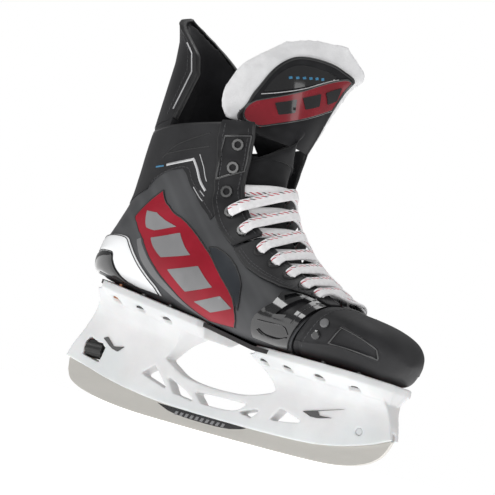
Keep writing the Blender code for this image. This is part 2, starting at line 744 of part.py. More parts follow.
def tongue_layer(name, us, vs, low, thick, look):
    made = grid_surface(name, lambda u, v: tongue_point(u, v, low), us, vs, thick, look)
    set_origin(made, TONGUE_HINGE[0], 0, TONGUE_HINGE[1])
    return made


def tongue_pieces():
    tongue_layer("tongue_felt", np.linspace(-1, 1, 10), np.linspace(0, 1, 10), -5.0, 5.0, FELT)
    tongue_layer(
        "tongue_cover", np.linspace(-0.86, 0.9, 9), np.linspace(0.02, 0.9, 9), 0.9, 1.6, TONGUE_BLACK
    )
    tongue_layer("tongue_badge", np.linspace(-0.8, 0.84, 7), np.linspace(0.42, 0.64, 3), 3.4, 1.2, RED)


# ---------------------------------------------------------------- tendon guard

GUARD_LOW = [(0, 201.6), (0.5, 203.5), (1.0, 210.0)]
GUARD_HIGH = [(0, 292.5), (0.4, 288), (0.75, 282), (1.0, 276)]
GUARD_SWEEP = [(0, 88), (0.3, 96), (0.55, 102), (0.75, 92), (1.0, 60)]
GUARD_BACK = [(0, 32.0), (0.6, 31.0), (0.8, 33.5), (1.0, 40.0)]


def guard_point(v, u, offset):
    """u runs round the tendon from the lateral to the medial edge, v from the base to the tip."""
    low, high = along(GUARD_LOW, abs(u)), along(GUARD_HIGH, abs(u))
    angle = math.radians(u * along(GUARD_SWEEP, v))
    deep = along(GUARD_BACK, v) + offset
    wide = along([(0, 36), (1, 31)], v) + offset
    return np.array((-77.5 - deep * math.cos(angle), wide * math.sin(angle), low + (high - low) * v))


def guard_layer(name, low, thick, look, shrink=1.0):
    rows = np.linspace(0, 1, 9) * shrink
    columns = np.linspace(-1, 1, 13)
    made = grid_surface(name, lambda v, u: guard_point(v, u, low), rows, columns, thick, look)
    made.modifiers["thickness"].offset = -1.0
    set_origin(made, GUARD_HINGE[0], 0, GUARD_HINGE[1])
    return made


# ---------------------------------------------------------------- lace


def lace_route():
    """One lace: a bar over the lowest pair, then crosses up the throat, with both ends tucked inside."""
    rows = LOWER_EYELETS[::-1] + UPPER_EYELETS[::-1][:3]
    t = EYELET_T

    def hole(s, side):
        return [boot(s, t * side, 5.4), boot(s, t * side, 1.8), boot(s, t * side, -2.3)]

    def over(s, side):
        return boot(s, 0.975 * side, 6.4)

    def crest(s, lift):
        station = spline(STATIONS, s)
        up = np.array((station[2] - station[0], 0.0, station[3] - station[1]))
        return np.array((station[2], 0.0, station[3])) + up / np.linalg.norm(up) * lift

    def half_route(first_side):
        points, side = [], first_side
        points += [over(rows[0], side)] + hole(rows[0], side)
        for low, high in zip(rows, rows[1:]):
            across = -side
            middle = (low + high) / 2
            lift = 5.2 if side > 0 else 1.4
            points.append(boot(low + 0.5, 1.0 * side, -2.9))
            points.append(crest(middle, lift))
            points.append(over(high, across))
            points += hole(high, across)
            side = across
        last = rows[-1]
        points.append(boot(last + 0.45, 1.0 * side, -2.6))
        return points

    start = half_route(-1)[::-1]
    return start + [crest(rows[0], 2.6)] + half_route(1)


def lace():
    curve = bpy.data.curves.new("lace", "CURVE")
    curve.dimensions = "3D"
    curve.bevel_depth = LACE_RADIUS * MM
    curve.bevel_resolution = 0
    curve.use_fill_caps = True
    curve.materials.append(LACE)
    route = lace_route()
    line = curve.splines.new("POLY")
    line.points.add(len(route) - 1)
    for target, place in zip(line.points, route):
        target.co = (*(Vector(place) * MM), 1)
    made = bpy.data.objects.new("lace", curve)
    PARTS.objects.link(made)
    return made


# ---------------------------------------------------------------- assembly


def build_holder_group():
    runner()
    lock_wheel()
    lock_hook()
    front_pin()
    return holder()


def build_facings():
    for side, word in ((-1, "lateral"), (1, "medial")):
        side_bracket(side, f"side_bracket_{word}")
        upper = facing(side, UPPER_ROWS, UPPER_OUTER, f"facing_upper_{word}")
        lower = facing(side, LOWER_ROWS, LOWER_OUTER, f"facing_lower_{word}")
        for piece, eyelets in ((upper, UPPER_EYELETS), (lower, LOWER_EYELETS)):
            for number, s in enumerate(eyelets, 1):
                start = boot(s, EYELET_T * side, -3)
                end = boot(s, EYELET_T * side, 7)
                boolean(piece, rod(f"hole_{piece.name}_{number}", start, end, 3.3, sides=8))
        for number, s in enumerate(UPPER_EYELETS, 1):
            eyelet(f"eyelet_{word}_{number}", s, side)


def build_boot():
    shell = quarter_shell()
    sole = outsole()
    cap = toe_cap()
    heel_panel()
    heel_cup()
    ankle_liner()
    footbed()
    for word, side in (("lateral", -1), ("medial", 1)):
        vent(f"vent_front_{word}", 0.9, 0.56 * side, BOLT_STEEL)
        vent(f"vent_rear_{word}", 0.95, 0.475 * side, GLOSS_BLACK)
    return shell, sole, cap


def main():
    held = build_holder_group()
    floors = build_boot()
    build_facings()
    tongue_base()
    tongue_pieces()
    guard_layer("tendon_guard", 0.0, 2.6, COMPOSITE)
    guard_layer("tendon_lining", -3.6, 3.0, LINING, 0.985)
    lace()
    for name, x, y in rivet_sites():
        rivet(name, x, y)
    for cutter in rivet_cutters():
        boolean(held, cutter)
        if cutter.name.startswith("bore"):
            for floor in floors:
                boolean(floor, cutter)


main()
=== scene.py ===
"""The looks of a right-foot ice hockey skate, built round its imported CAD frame.

Outlines are in millimetres and are turned into metres where the meshes are made. On the boot a place is
(s, t): s counts the stations from the vamp up to the ankle, and t runs across a section, from -1 at the
lateral edge of the throat, over 0 at the sole and the heel, to 1 at the medial edge.
"""

import math

import bmesh
import bpy
import numpy as np
from mathutils import Matrix, Vector, geometry


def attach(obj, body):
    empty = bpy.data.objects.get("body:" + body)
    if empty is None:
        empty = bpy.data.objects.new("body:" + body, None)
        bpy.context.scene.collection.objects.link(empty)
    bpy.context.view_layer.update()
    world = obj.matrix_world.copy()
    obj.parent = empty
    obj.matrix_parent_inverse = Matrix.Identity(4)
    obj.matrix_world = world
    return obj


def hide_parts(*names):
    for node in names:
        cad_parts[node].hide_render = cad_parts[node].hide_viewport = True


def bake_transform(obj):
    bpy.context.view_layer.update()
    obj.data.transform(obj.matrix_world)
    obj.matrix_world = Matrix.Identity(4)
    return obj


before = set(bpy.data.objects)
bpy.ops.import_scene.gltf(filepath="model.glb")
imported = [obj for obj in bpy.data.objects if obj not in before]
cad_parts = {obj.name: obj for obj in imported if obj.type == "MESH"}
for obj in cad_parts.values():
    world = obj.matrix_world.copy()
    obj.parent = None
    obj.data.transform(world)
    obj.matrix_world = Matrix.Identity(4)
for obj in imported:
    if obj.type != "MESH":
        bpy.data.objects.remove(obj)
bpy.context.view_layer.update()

MM = 0.001
ROOT, RUNNER = "boot_and_holder", "runner_body"
TONGUE, TENDON = "tongue_top", "tendon_flap"
SIDES = (("lateral", -1), ("medial", 1))

# ---------------------------------------------------------------- camera, light and floor


def placed(name, data):
    """A new object in the scene."""
    made = bpy.data.objects.new(name, data)
    bpy.context.scene.collection.objects.link(made)
    return made


def add_camera():
    place, aim, roll = Vector((0.7875, -1.1281, 0.0051)), Vector((-0.0073, -0.0043, 0.1333)), math.radians(
        15.22
    )
    back = (place - aim).normalized()
    right = Vector((0, 0, 1)).cross(back).normalized()
    up = back.cross(right)
    across = right * math.cos(roll) + up * math.sin(roll)
    above = up * math.cos(roll) - right * math.sin(roll)
    data = bpy.data.cameras.new("camera")
    data.lens = 142.4
    data.clip_start, data.clip_end = 0.05, 20
    camera = placed("camera", data)
    camera.matrix_world = Matrix.Translation(place) @ Matrix((across, above, back)).transposed().to_4x4()
    bpy.context.scene.camera = camera


def add_light(name, place, aim, size, power):
    data = bpy.data.lights.new(name, "AREA")
    data.shape = "RECTANGLE"
    data.size, data.size_y = size
    data.energy = power
    light = placed(name, data)
    light.location = place
    light.rotation_euler = (Vector(aim) - Vector(place)).to_track_quat("-Z", "Y").to_euler()


def add_studio():
    world = bpy.data.worlds.new("studio")
    world.use_nodes = True
    nodes, links = world.node_tree.nodes, world.node_tree.links
    soft = nodes["Background"]
    soft.inputs["Strength"].default_value = 0.30
    soft.inputs["Color"].default_value = (1, 1, 1, 1)
    seen = add_node(nodes, "Background", Strength=1.0, Color=(1, 1, 1, 1))
    choice, path = nodes.new("ShaderNodeMixShader"), nodes.new("ShaderNodeLightPath")
    links.new(path.outputs["Is Camera Ray"], choice.inputs["Fac"])
    links.new(soft.outputs["Background"], choice.inputs[1])
    links.new(seen.outputs["Background"], choice.inputs[2])
    links.new(choice.outputs["Shader"], nodes["World Output"].inputs["Surface"])
    bpy.context.scene.world = world
    bpy.context.scene.view_settings.view_transform = "Standard"
    middle = (0, 0, 0.14)
    add_light("key", (-0.7, -1.2, 1.3), middle, (0.6, 0.6), 6.5)
    add_light("fill", (1.7, -0.6, 0.7), middle, (0.5, 1.2), 3.5)
    add_light("top", (0.1, 0.5, 1.6), middle, (0.9, 0.9), 6)
    floor_mesh = bpy.data.meshes.new("floor")
    half, below = 6.0, -0.0002
    corners = [(-half, -half, below), (half, -half, below), (half, half, below), (-half, half, below)]
    floor_mesh.from_pydata(corners, [], [(0, 1, 2, 3)])
    floor = placed("floor", floor_mesh)
    pale = finish(
        "floor_white", (0.93, 0.93, 0.93), (0.96, 0.96, 0.96), (0.9, 1.0), Emission_Color=(1, 1, 1, 1),
        Emission_Strength=0.9,
    )
    floor_mesh.materials.append(pale)


# ---------------------------------------------------------------- materials


def add_node(nodes, kind, **values):
    """A new shader node with the values of its inputs; an underscore stands for a space."""
    made = nodes.new("ShaderNode" + kind)
    for socket, value in values.items():
        made.inputs[socket.replace("_", " ")].default_value = value
    return made


def finish(
    name, dark, light, rough, pattern="grain", size=0.7, depth=0.04, blotch=25, stretch=(1, 1, 1),
    coords="Object", **settings,
):
    """A finish that drifts between two colours, with a fine relief; lengths are in millimetres."""
    look = bpy.data.materials.new(name)
    look.use_nodes = True
    nodes, links = look.node_tree.nodes, look.node_tree.links
    shader = nodes["Principled BSDF"]
    where = nodes.new("ShaderNodeTexCoord")
    turn = add_node(nodes, "Mapping", Scale=stretch)
    links.new(where.outputs[coords], turn.inputs["Vector"])
    broad = add_node(nodes, "TexNoise", Scale=1000 / blotch, Detail=3)
    links.new(turn.outputs["Vector"], broad.inputs["Vector"])
    relief = relief_height(nodes, links, turn, pattern, size)
    share = nodes.new("ShaderNodeMath")
    share.operation = "MULTIPLY_ADD"
    share.inputs[1].default_value = 0.45
    links.new(relief, share.inputs[0])
    spread = add_node(nodes, "MapRange", From_Min=0.35, From_Max=0.65, To_Max=0.6)
    links.new(broad.outputs["Fac"], spread.inputs["Value"])
    links.new(spread.outputs["Result"], share.inputs[2])
    tint = nodes.new("ShaderNodeMix")
    tint.data_type = "RGBA"
    tint.inputs["A"].default_value = (*dark, 1)
    tint.inputs["B"].default_value = (*light, 1)
    links.new(share.outputs["Value"], tint.inputs["Factor"])
    links.new(tint.outputs["Result"], shader.inputs["Base Color"])
    gloss = add_node(nodes, "MapRange", To_Min=rough[0], To_Max=rough[1])
    links.new(share.outputs["Value"], gloss.inputs["Value"])
    links.new(gloss.outputs["Result"], shader.inputs["Roughness"])
    bump = add_node(nodes, "Bump", Distance=depth * MM, Strength=1.0)
    links.new(relief, bump.inputs["Height"])
    links.new(bump.outputs["Normal"], shader.inputs["Normal"])
    for socket, value in settings.items():
        shader.inputs[socket.replace("_", " ")].default_value = value
    return look


def relief_height(nodes, links, turn, pattern, size):
    """The socket that carries the fine pattern, from 0 to 1."""
    scale = 1000 / size
    if pattern in ("weave", "twill"):
        bands = []
        for direction in ("X", "Z"):
            wider = 1.0 if direction == "X" else 1.07
            wave = add_node(nodes, "TexWave", Scale=scale / 20 * wider, Distortion=0.6)
            wave.bands_direction = direction if pattern == "weave" else "DIAGONAL"
            links.new(turn.outputs["Vector"], wave.inputs["Vector"])
            bands.append(wave.outputs["Fac"])
        both = nodes.new("ShaderNodeMath")
        both.operation = "MULTIPLY"
        links.new(bands[0], both.inputs[0])
        links.new(bands[1], both.inputs[1])
        return both.outputs["Value"]
    if pattern == "leather":
        cells = add_node(nodes, "TexVoronoi", Scale=scale)
        links.new(turn.outputs["Vector"], cells.inputs["Vector"])
        return cells.outputs["Distance"]
    detail, roughness = (4, 0.55) if pattern == "grain" else (8, 0.75)
    grain = add_node(nodes, "TexNoise", Scale=scale, Detail=detail, Roughness=roughness)
    links.new(turn.outputs["Vector"], grain.inputs["Vector"])
    return grain.outputs["Fac"]


def lace_finish():
    """White flat weave with slanted red and black flecks along both edges; it reads the lace's own UVs."""
    look = finish(
        "woven_lace", (0.84, 0.83, 0.84), (0.97, 0.96, 0.97), (0.75, 0.95), "weave", 26, 0.25, 300,
        coords="UV",
        Sheen_Weight=0.3,
    )
    nodes, links = look.node_tree.nodes, look.node_tree.links
    shader = nodes["Principled BSDF"]
    base = shader.inputs["Base Color"].links[0].from_socket
    where = nodes.new("ShaderNodeTexCoord")
    split = nodes.new("ShaderNodeSeparateXYZ")
    links.new(where.outputs["UV"], split.inputs["Vector"])

    def maths(operation, a, b):
        node = nodes.new("ShaderNodeMath")
        node.operation = operation
        for socket, value in ((node.inputs[0], a), (node.inputs[1], b)):
            if isinstance(value, (int, float)):
                socket.default_value = value
            else:
                links.new(value, socket)
        return node.outputs["Value"]

    along, across = split.outputs["X"], split.outputs["Y"]
    off_middle = maths("SUBTRACT", 0.5, across)
    near_edge = maths(
        "MULTIPLY", maths("GREATER_THAN", off_middle, 0.14), maths("LESS_THAN", off_middle, 0.36),
    )
    slanted = maths(
        "FRACT", maths("ADD", maths("MULTIPLY", along, 2.2), maths("MULTIPLY", off_middle, 4)), 0,
    )
    fleck = maths("MULTIPLY", near_edge, maths("LESS_THAN", slanted, 0.42))
    dark = maths("LESS_THAN", maths("FRACT", maths("MULTIPLY", along, 0.9), 0), 0.3)
    for mask, colour in (
        (fleck, (0.55, 0.02, 0.05, 1)), (maths("MULTIPLY", fleck, dark), (0.03, 0.02, 0.03, 1)),
    ):
        over = nodes.new("ShaderNodeMix")
        over.data_type = "RGBA"
        over.inputs["B"].default_value = colour
        links.new(mask, over.inputs["Factor"])
        links.new(base, over.inputs["A"])
        base = over.outputs["Result"]
    links.new(base, shader.inputs["Base Color"])
    return look


def all_finishes():
    """Every finish of the skate, by the name that the pieces ask for."""
    black = (0.006, 0.006, 0.007)
    return {
        "nylon": finish(
            "white_nylon", (0.66, 0.665, 0.67), (0.76, 0.765, 0.77), (0.35, 0.5), size=0.5, depth=0.02,
            Subsurface_Weight=0.06,
        ),
        "steel": finish(
            "runner_steel", (0.50, 0.49, 0.46), (0.66, 0.64, 0.60), (0.25, 0.42), "brushed", 0.5, 0.02,
            30, (0.06, 1, 1), Metallic=1.0,
        ),
        "wheel": finish("wheel_plastic", (0.012, 0.012, 0.012), (0.03, 0.03, 0.03), (0.35, 0.55)),
        "bolt": finish(
            "dark_nickel", (0.12, 0.12, 0.12), (0.24, 0.24, 0.24), (0.22, 0.38), size=0.4, Metallic=1.0,
        ),
        "copper": finish(
            "copper_rivet", (0.50, 0.22, 0.12), (0.72, 0.38, 0.24), (0.25, 0.45), Metallic=1.0,
        ),
        "shell": finish(
            "boot_composite", (0.048, 0.049, 0.052), (0.082, 0.084, 0.088), (0.42, 0.56), "twill", 1.4,
            0.015, 40, Specular_IOR_Level=0.3,
        ),
        "collar": finish(
            "collar_synthetic", (0.011, 0.011, 0.012), (0.024, 0.024, 0.026), (0.36, 0.52), "leather",
            0.9, 0.03, Specular_IOR_Level=0.3,
        ),
        "strip": finish("grey_strip", (0.12, 0.121, 0.125), (0.17, 0.171, 0.175), (0.35, 0.5)),
        "red": finish(
            "red_panel", (0.24, 0.004, 0.014), (0.36, 0.008, 0.026), (0.32, 0.45), size=0.5, depth=0.015,
            Specular_IOR_Level=0.25,
        ),
        "red_gloss": finish(
            "red_gloss", (0.17, 0.003, 0.009), (0.27, 0.006, 0.018), (0.2, 0.3), depth=0.01,
            Coat_Weight=0.5, Coat_Roughness=0.08,
        ),
        "bar": finish(
            "grey_bar", (0.20, 0.20, 0.205), (0.28, 0.28, 0.285), (0.35, 0.5), size=0.5, depth=0.015,
            Specular_IOR_Level=0.3,
        ),
        "silver": finish(
            "silver_line", (0.45, 0.45, 0.46), (0.65, 0.65, 0.66), (0.25, 0.4), size=0.5, depth=0.01,
            Metallic=0.4,
        ),
        "blue": finish("blue_mark", (0.03, 0.16, 0.30), (0.05, 0.24, 0.42), (0.3, 0.4), depth=0.01),
        "badge": finish(
            "badge_blue_grey", (0.010, 0.013, 0.018), (0.020, 0.025, 0.032), (0.25, 0.4), depth=0.01,
            Coat_Weight=0.3,
        ),
        "white_gloss": finish(
            "white_gloss", (0.82, 0.83, 0.84), (0.92, 0.93, 0.94), (0.2, 0.32), depth=0.01,
            Coat_Weight=0.4, Coat_Roughness=0.15,
        ),
        "gloss": finish(
            "gloss_black", black, (0.012, 0.012, 0.013), (0.07, 0.16), depth=0.008, Coat_Weight=0.8,
            Coat_Roughness=0.05,
        ),
        "toe": finish(
            "toe_plastic", (0.012, 0.012, 0.013), (0.026, 0.026, 0.028), (0.45, 0.62), "grain", 0.45,
            0.08, Specular_IOR_Level=0.3,
        ),
        "sole": finish(
            "sole_composite", (0.012, 0.011, 0.011), (0.03, 0.024, 0.024), (0.35, 0.5), "twill", 1.6,
            0.03,
        ),
        "facing_low": finish(
            "facing_grey", (0.012, 0.012, 0.013), (0.030, 0.030, 0.032), (0.4, 0.55), "leather", 1.1,
            0.07, Specular_IOR_Level=0.3,
        ),
        "facing_up": finish(
            "facing_black", (0.005, 0.005, 0.006), (0.020, 0.020, 0.022), (0.38, 0.55), "weave", 1.8,
            0.12, Specular_IOR_Level=0.3,
        ),
        "edge": finish("bound_edge", black, (0.018, 0.018, 0.019), (0.3, 0.5), "weave", 0.9, 0.04),
        "thread": finish(
            "thread", (0.02, 0.02, 0.021), (0.06, 0.06, 0.065), (0.5, 0.7), size=0.3, depth=0.03,
        ),
        "tongue": finish(
            "tongue_textile", (0.007, 0.007, 0.008), (0.02, 0.02, 0.022), (0.65, 0.85), "weave", 1.3,
            0.08, Specular_IOR_Level=0.2, Sheen_Weight=0.1,
        ),
        "felt": finish(
            "white_felt", (0.72, 0.72, 0.73), (0.90, 0.90, 0.91), (0.9, 1.0), "fibre", 1.4, 0.5, 12,
            Sheen_Weight=0.5, Sheen_Roughness=0.6,
        ),
        "lining": finish(
            "brushed_lining", (0.006, 0.006, 0.007), (0.022, 0.022, 0.025), (0.8, 0.95), "fibre", 1.0,
            0.18, Specular_IOR_Level=0.2, Sheen_Weight=0.15,
        ),
        "lace": lace_finish(),
    }


# ---------------------------------------------------------------- the boot's surfaces, as in the CAD


def along(table, x):
    """Straight interpolation in a short list of (x, value) pairs."""
    xs, values = zip(*table)
    return np.interp(x, xs, values)


FLANGE_LINE = [(-130, 85.6), (-10, 69.5), (38, 61.8), (146, 58.0)]
SHELL_OVER_SOLE = 4.0
CREST_POWER = 0.85


def flange_top(x):
    return along(FLANGE_LINE, x)


def shell_low(x):
    return float(flange_top(x)) + SHELL_OVER_SOLE


# Back x and z, crest x and z, half width, half throat.
STATIONS = [
    (72, shell_low(72), 92, 102.5, 47.0, 14),
    (52, shell_low(52), 81, 107.5, 48.0, 16.5),
    (32, shell_low(32), 70, 113, 47.5, 19.5),
    (12, shell_low(12), 59, 120, 45.5, 22.5),
    (-8, shell_low(-8), 47.5, 128, 43.0, 24.5),
    (-30, shell_low(-30), 37, 137, 41.0, 26),
    (-54, shell_low(-54), 28, 147, 39.5, 26.5),
    (-80, shell_low(-80), 21, 156, 38.5, 27),
    (-104, shell_low(-104) + 0.4, 16, 165, 38.0, 27),
    (-120, 89.8, 13, 173, 38.0, 27),
    (-127.5, 96, 11, 181, 38.5, 27.5),
    (-126.5, 109, 10, 188, 39.5, 28),
    (-119.5, 125, 9.5, 194, 40.0, 28.7),
    (-112, 144, 9.5, 200, 40.5, 29.5),
    (-110, 163, 10, 206, 41.0, 30.5),
    (-109, 181, 10.5, 212, 42.0, 31.5),
    (-107.5, 198, 11, 218, 43.0, 33),
    (-106.5, 214, 11.5, 231, 43.5, 33.5),
]
TOE_STATIONS = [
    (73.2, shell_low(73), 93.2, 105, 47.2),
    (86, shell_low(86), 107, 103.5, 46.6),
    (100, shell_low(100), 119, 101, 44.5),
    (114, shell_low(114), 129.5, 97, 40.5),
    (125, shell_low(125), 136, 92, 34.0),
    (133, 63.5, 140, 86, 24.5),
    (138, 68, 141.6, 80.5, 13.0),
    (140.4, 72, 142, 77, 4.0),
]
# Rows up the tongue: lateral edge, middle and medial edge.
TONGUE_ROWS = [
    ((-9, -25, 207.5), (4, -1, 208), (1, 23, 208.5)),
    ((-30, -34, 221), (5, -2, 221), (4, 27, 224)),
    ((-34, -36.5, 233), (3, -2, 237), (7.5, 31.5, 243)),
    ((-33, -34, 247), (1, -1, 254), (11, 38, 262)),
    ((-29.5, -27, 263), (-3, 1, 272), (16, 43, 278)),
    ((-19, -9, 283), (-7, 6, 290), (8, 28, 293)),
]


def hermite(a, b, slope_a, slope_b, f):
    return (
        (2 * f**3 - 3 * f**2 + 1) * a + (f**3 - 2 * f**2 + f) * slope_a
        + (3 * f**2 - 2 * f**3) * b + (f**3 - f**2) * slope_b
    )


def spline(points, s):
    """Catmull-Rom curves through rows of points, at parameters that count the rows from 0."""
    points = np.asarray(points, float)
    s = np.asarray(s, float)
    last = len(points) - 1
    i = np.clip(np.floor(s), 0, last - 1).astype(int)
    f = (s - i)[..., None]
    ends = np.concatenate([[2 * points[0] - points[1]], points, [2 * points[-1] - points[-2]]])
    before, a, b, after = ends[i], ends[i + 1], ends[i + 2], ends[i + 3]
    return hermite(a, b, (b - before) / 2, (after - a) / 2, f)


def signed_power(value, power):
    return np.sign(value) * np.abs(value) ** power


def section(s, angle):
    """The boot's whole closed section: angle 0 is its low back and pi its crest."""
    back_x, back_z, crest_x, crest_z, half, _ = np.moveaxis(spline(STATIONS, s), -1, 0)
    across, up = np.sin(angle), np.cos(angle)
    power = np.where(up > 0, along([(4.5, 0.45), (10.5, 0.8)], s), CREST_POWER)
    y = half * signed_power(across, power)
    share = 0.5 - 0.5 * signed_power(up, 0.9)
    return np.stack([back_x + share * (crest_x - back_x), y, back_z + share * (crest_z - back_z)], -1)


def edge_angle(s):
    """The section's angle at the throat's edge."""
    half, throat = np.moveaxis(spline(STATIONS, s), -1, 0)[4:]
    return math.pi - np.arcsin((throat / half) ** (1 / CREST_POWER))


def lifted(surface, a, b, offset, step=0.02):
    """surface(a, b) moved by offset along the side that rising a x rising b faces."""
    a, b, offset = np.broadcast_arrays(
        np.asarray(a, float), np.asarray(b, float), np.asarray(offset, float),
    )
    normal = np.cross(
        surface(a + step, b) - surface(a - step, b), surface(a, b + step) - surface(a, b - step),
    )
    normal /= np.linalg.norm(normal, axis=-1, keepdims=True)
    return surface(a, b) + normal * offset[..., None]


def boot(s, t, offset=0.0):
    s, t = np.broadcast_arrays(np.asarray(s, float), np.asarray(t, float))
    return lifted(section, s, t * edge_angle(s), offset)


def toe_raw(s, t):
    low_x, low_z, crest_x, crest_z, half = np.moveaxis(spline(TOE_STATIONS, s), -1, 0)
    up = np.cos(t * math.pi)
    share = 0.5 - 0.5 * signed_power(up, 0.75)
    y = half * signed_power(np.sin(t * math.pi), np.where(up > 0, 0.5, 0.62))
    return np.stack([low_x + share * (crest_x - low_x), y, low_z + share * (crest_z - low_z)], -1)


def toe(s, t, offset=0.0):
    """The toe cap's dome; t runs once round, -1 and 1 at the crest and 0 at the sole."""
    return lifted(toe_raw, np.clip(s, 0.02, 6.98), t, -np.asarray(offset, float))


def tongue_raw(u, v):
    rows = np.moveaxis(np.array([spline([row[k] for row in TONGUE_ROWS], v * 5) for k in range(3)]), 0, -2)
    side = np.asarray(u, float) + 1
    left = (side < 1)[..., None]
    f = (side - np.clip(np.floor(side), 0, 1))[..., None]
    a, m, b = rows[..., 0, :], rows[..., 1, :], rows[..., 2, :]
    before, p, q, after = np.where(left, 2 * a - m, a), np.where(left, a, m), np.where(left, m, b), np.where(
        left, b, 2 * b - m,
    )
    return hermite(p, q, (q - before) / 2, (after - p) / 2, f)


def tongue(u, v, offset=0.0):
    """The tongue's flexing top: u from the lateral to the medial edge, v upwards."""
    return lifted(tongue_raw, u, v, offset)


def guard(v, u, offset=0.0):
    """The tendon guard: u runs round the tendon from the lateral to the medial edge, v upwards."""
    low = along([(0, 201.6), (0.5, 203.5), (1.0, 210.0)], np.abs(u))
    high = along([(0, 292.5), (0.4, 288), (0.75, 282), (1.0, 276)], np.abs(u))
    angle = np.radians(u * along([(0, 88), (0.3, 96), (0.55, 102), (0.75, 92), (1.0, 60)], v))
    deep = along([(0, 32.0), (0.6, 31.0), (0.8, 33.5), (1.0, 40.0)], v) + offset
    wide = along([(0, 36), (1, 31)], v) + offset
    return np.stack([-77.5 - deep * np.cos(angle), wide * np.sin(angle), low + (high - low) * v], -1)


# ---------------------------------------------------------------- mesh helpers


def new_object(name, mesh, look, body, replaced=()):
    made = placed(name, mesh)
    mesh.materials.clear()
    mesh.materials.append(LOOKS[look])
    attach(made, body)
    if replaced:
        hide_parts(*replaced)
    return made


def mesh_of(name, points, faces, angle=40):
    """A mesh from points in millimetres, with its faces turned outwards."""
    mesh = bpy.data.meshes.new(name)
    mesh.from_pydata((np.asarray(points) * MM).tolist(), [], faces)
    bm = bmesh.new()
    bm.from_mesh(mesh)
    bmesh.ops.recalc_face_normals(bm, faces=bm.faces)
    bm.to_mesh(mesh)
    bm.free()
    mesh.shade_smooth()
    mesh.set_sharp_from_angle(angle=math.radians(angle))
    return mesh


def soften(made, width=0.4, segments=2, angle=40):
    """Rounds the hard edges."""
    bevel = made.modifiers.new("edges", "BEVEL")
    bevel.width = width * MM
    bevel.segments = segments
    bevel.limit_method = "ANGLE"
    bevel.angle_limit = math.radians(angle)
    bevel.harden_normals = False
    return made


def grid_solid(low, high, wrap=False):
    """Points and faces of the closed solid between two grids of points with the same rows and columns."""
    rows, columns = low.shape[:2]
    points = np.concatenate([low.reshape(-1, 3), high.reshape(-1, 3)])
    top = rows * columns
    faces, across = [], columns if wrap else columns - 1
    for i in range(rows - 1):
        for j in range(across):
            k = (j + 1) % columns
            a, b, c, d = i * columns + j, (i + 1) * columns + j, (i + 1) * columns + k, i * columns + k
            faces += [(a, b, c, d), (a + top, d + top, c + top, b + top)]
    last = (rows - 1) * columns
    if wrap:
        rings = [list(range(columns)), list(range(last, last + columns))]
    else:
        ring = list(range(columns)) + [i * columns + columns - 1 for i in range(1, rows)]
        ring += [last + j for j in range(columns - 2, -1, -1)] + [
            i * columns
            for i in range(rows - 2, 0, -1)
        ]
        rings = [ring]
    for ring in rings:
        for a, b in zip(ring, ring[1:] + ring[:1]):
            faces.append((a, b, b + top, a + top))
    return points, faces


def slab(name, surface, rows, columns, low, high, look, body=ROOT, replaced=(), edge=0.4):
    """A closed sheet of surface(row, column, offset) between two offsets; high may be a function of both."""
    a, b = np.meshgrid(rows, columns, indexing="ij")
    top = high(a, b) if callable(high) else high
    points, faces = grid_solid(surface(a, b, low), surface(a, b, top))
    made = new_object(name, mesh_of(name, points, faces), look, body, replaced)
    return soften(made, edge) if edge else made


def inside(points, outline):
    """Which points lie inside a closed outline."""
    x, y = points[:, 0], points[:, 1]
    found = np.zeros(len(points), bool)
    for (ax, ay), (bx, by) in zip(outline, np.roll(outline, -1, axis=0)):
        crosses = (ay > y) != (by > y)
        with np.errstate(divide="ignore", invalid="ignore"):
            found ^= crosses & (x < (bx - ax) * (y - ay) / (by - ay) + ax)
    return found


def rounded(outline, passes=2, corner=1.6, sharp=40):
    """The closed outline drawn as a curve, with only a small radius at its sharp corners."""
    outline = np.asarray(outline, float)
    before, after = np.roll(outline, 1, axis=0) - outline, np.roll(outline, -1, axis=0) - outline
    kept = []
    for place, back, ahead in zip(outline, before, after):
        back_length, ahead_length = np.linalg.norm(back), np.linalg.norm(ahead)
        turn = math.degrees(math.acos(np.clip(-back @ ahead / (back_length * ahead_length), -1, 1)))
        near = min(corner, 0.3 * back_length, 0.3 * ahead_length)
        if turn > sharp:
            kept += [place + back / back_length * near, place, place + ahead / ahead_length * near]
        else:
            kept.append(place)
    outline = np.array(kept)
    for _ in range(passes):
        after = np.roll(outline, -1, axis=0)
        outline = np.stack([outline * 0.75 + after * 0.25, outline * 0.25 + after * 0.75], 1).reshape(-1, 2)
    return outline


def resampled(line, step, closed=False):
    """The line with points no further apart than step."""
    line = np.asarray(line, float)
    ends = np.concatenate([line, line[:1]]) if closed else line
    made = []
    for a, b in zip(ends, ends[1:]):
        count = max(1, math.ceil(np.linalg.norm(b - a) / step))
        made += [a + (b - a) * k / count for k in range(count)]
    return np.array(made if closed else made + [ends[-1]])


BOOT_SCALE, TOE_SCALE, TONGUE_SCALE = (19.0, 95.0), (13.0, 125.0), (30.0, 84.0)


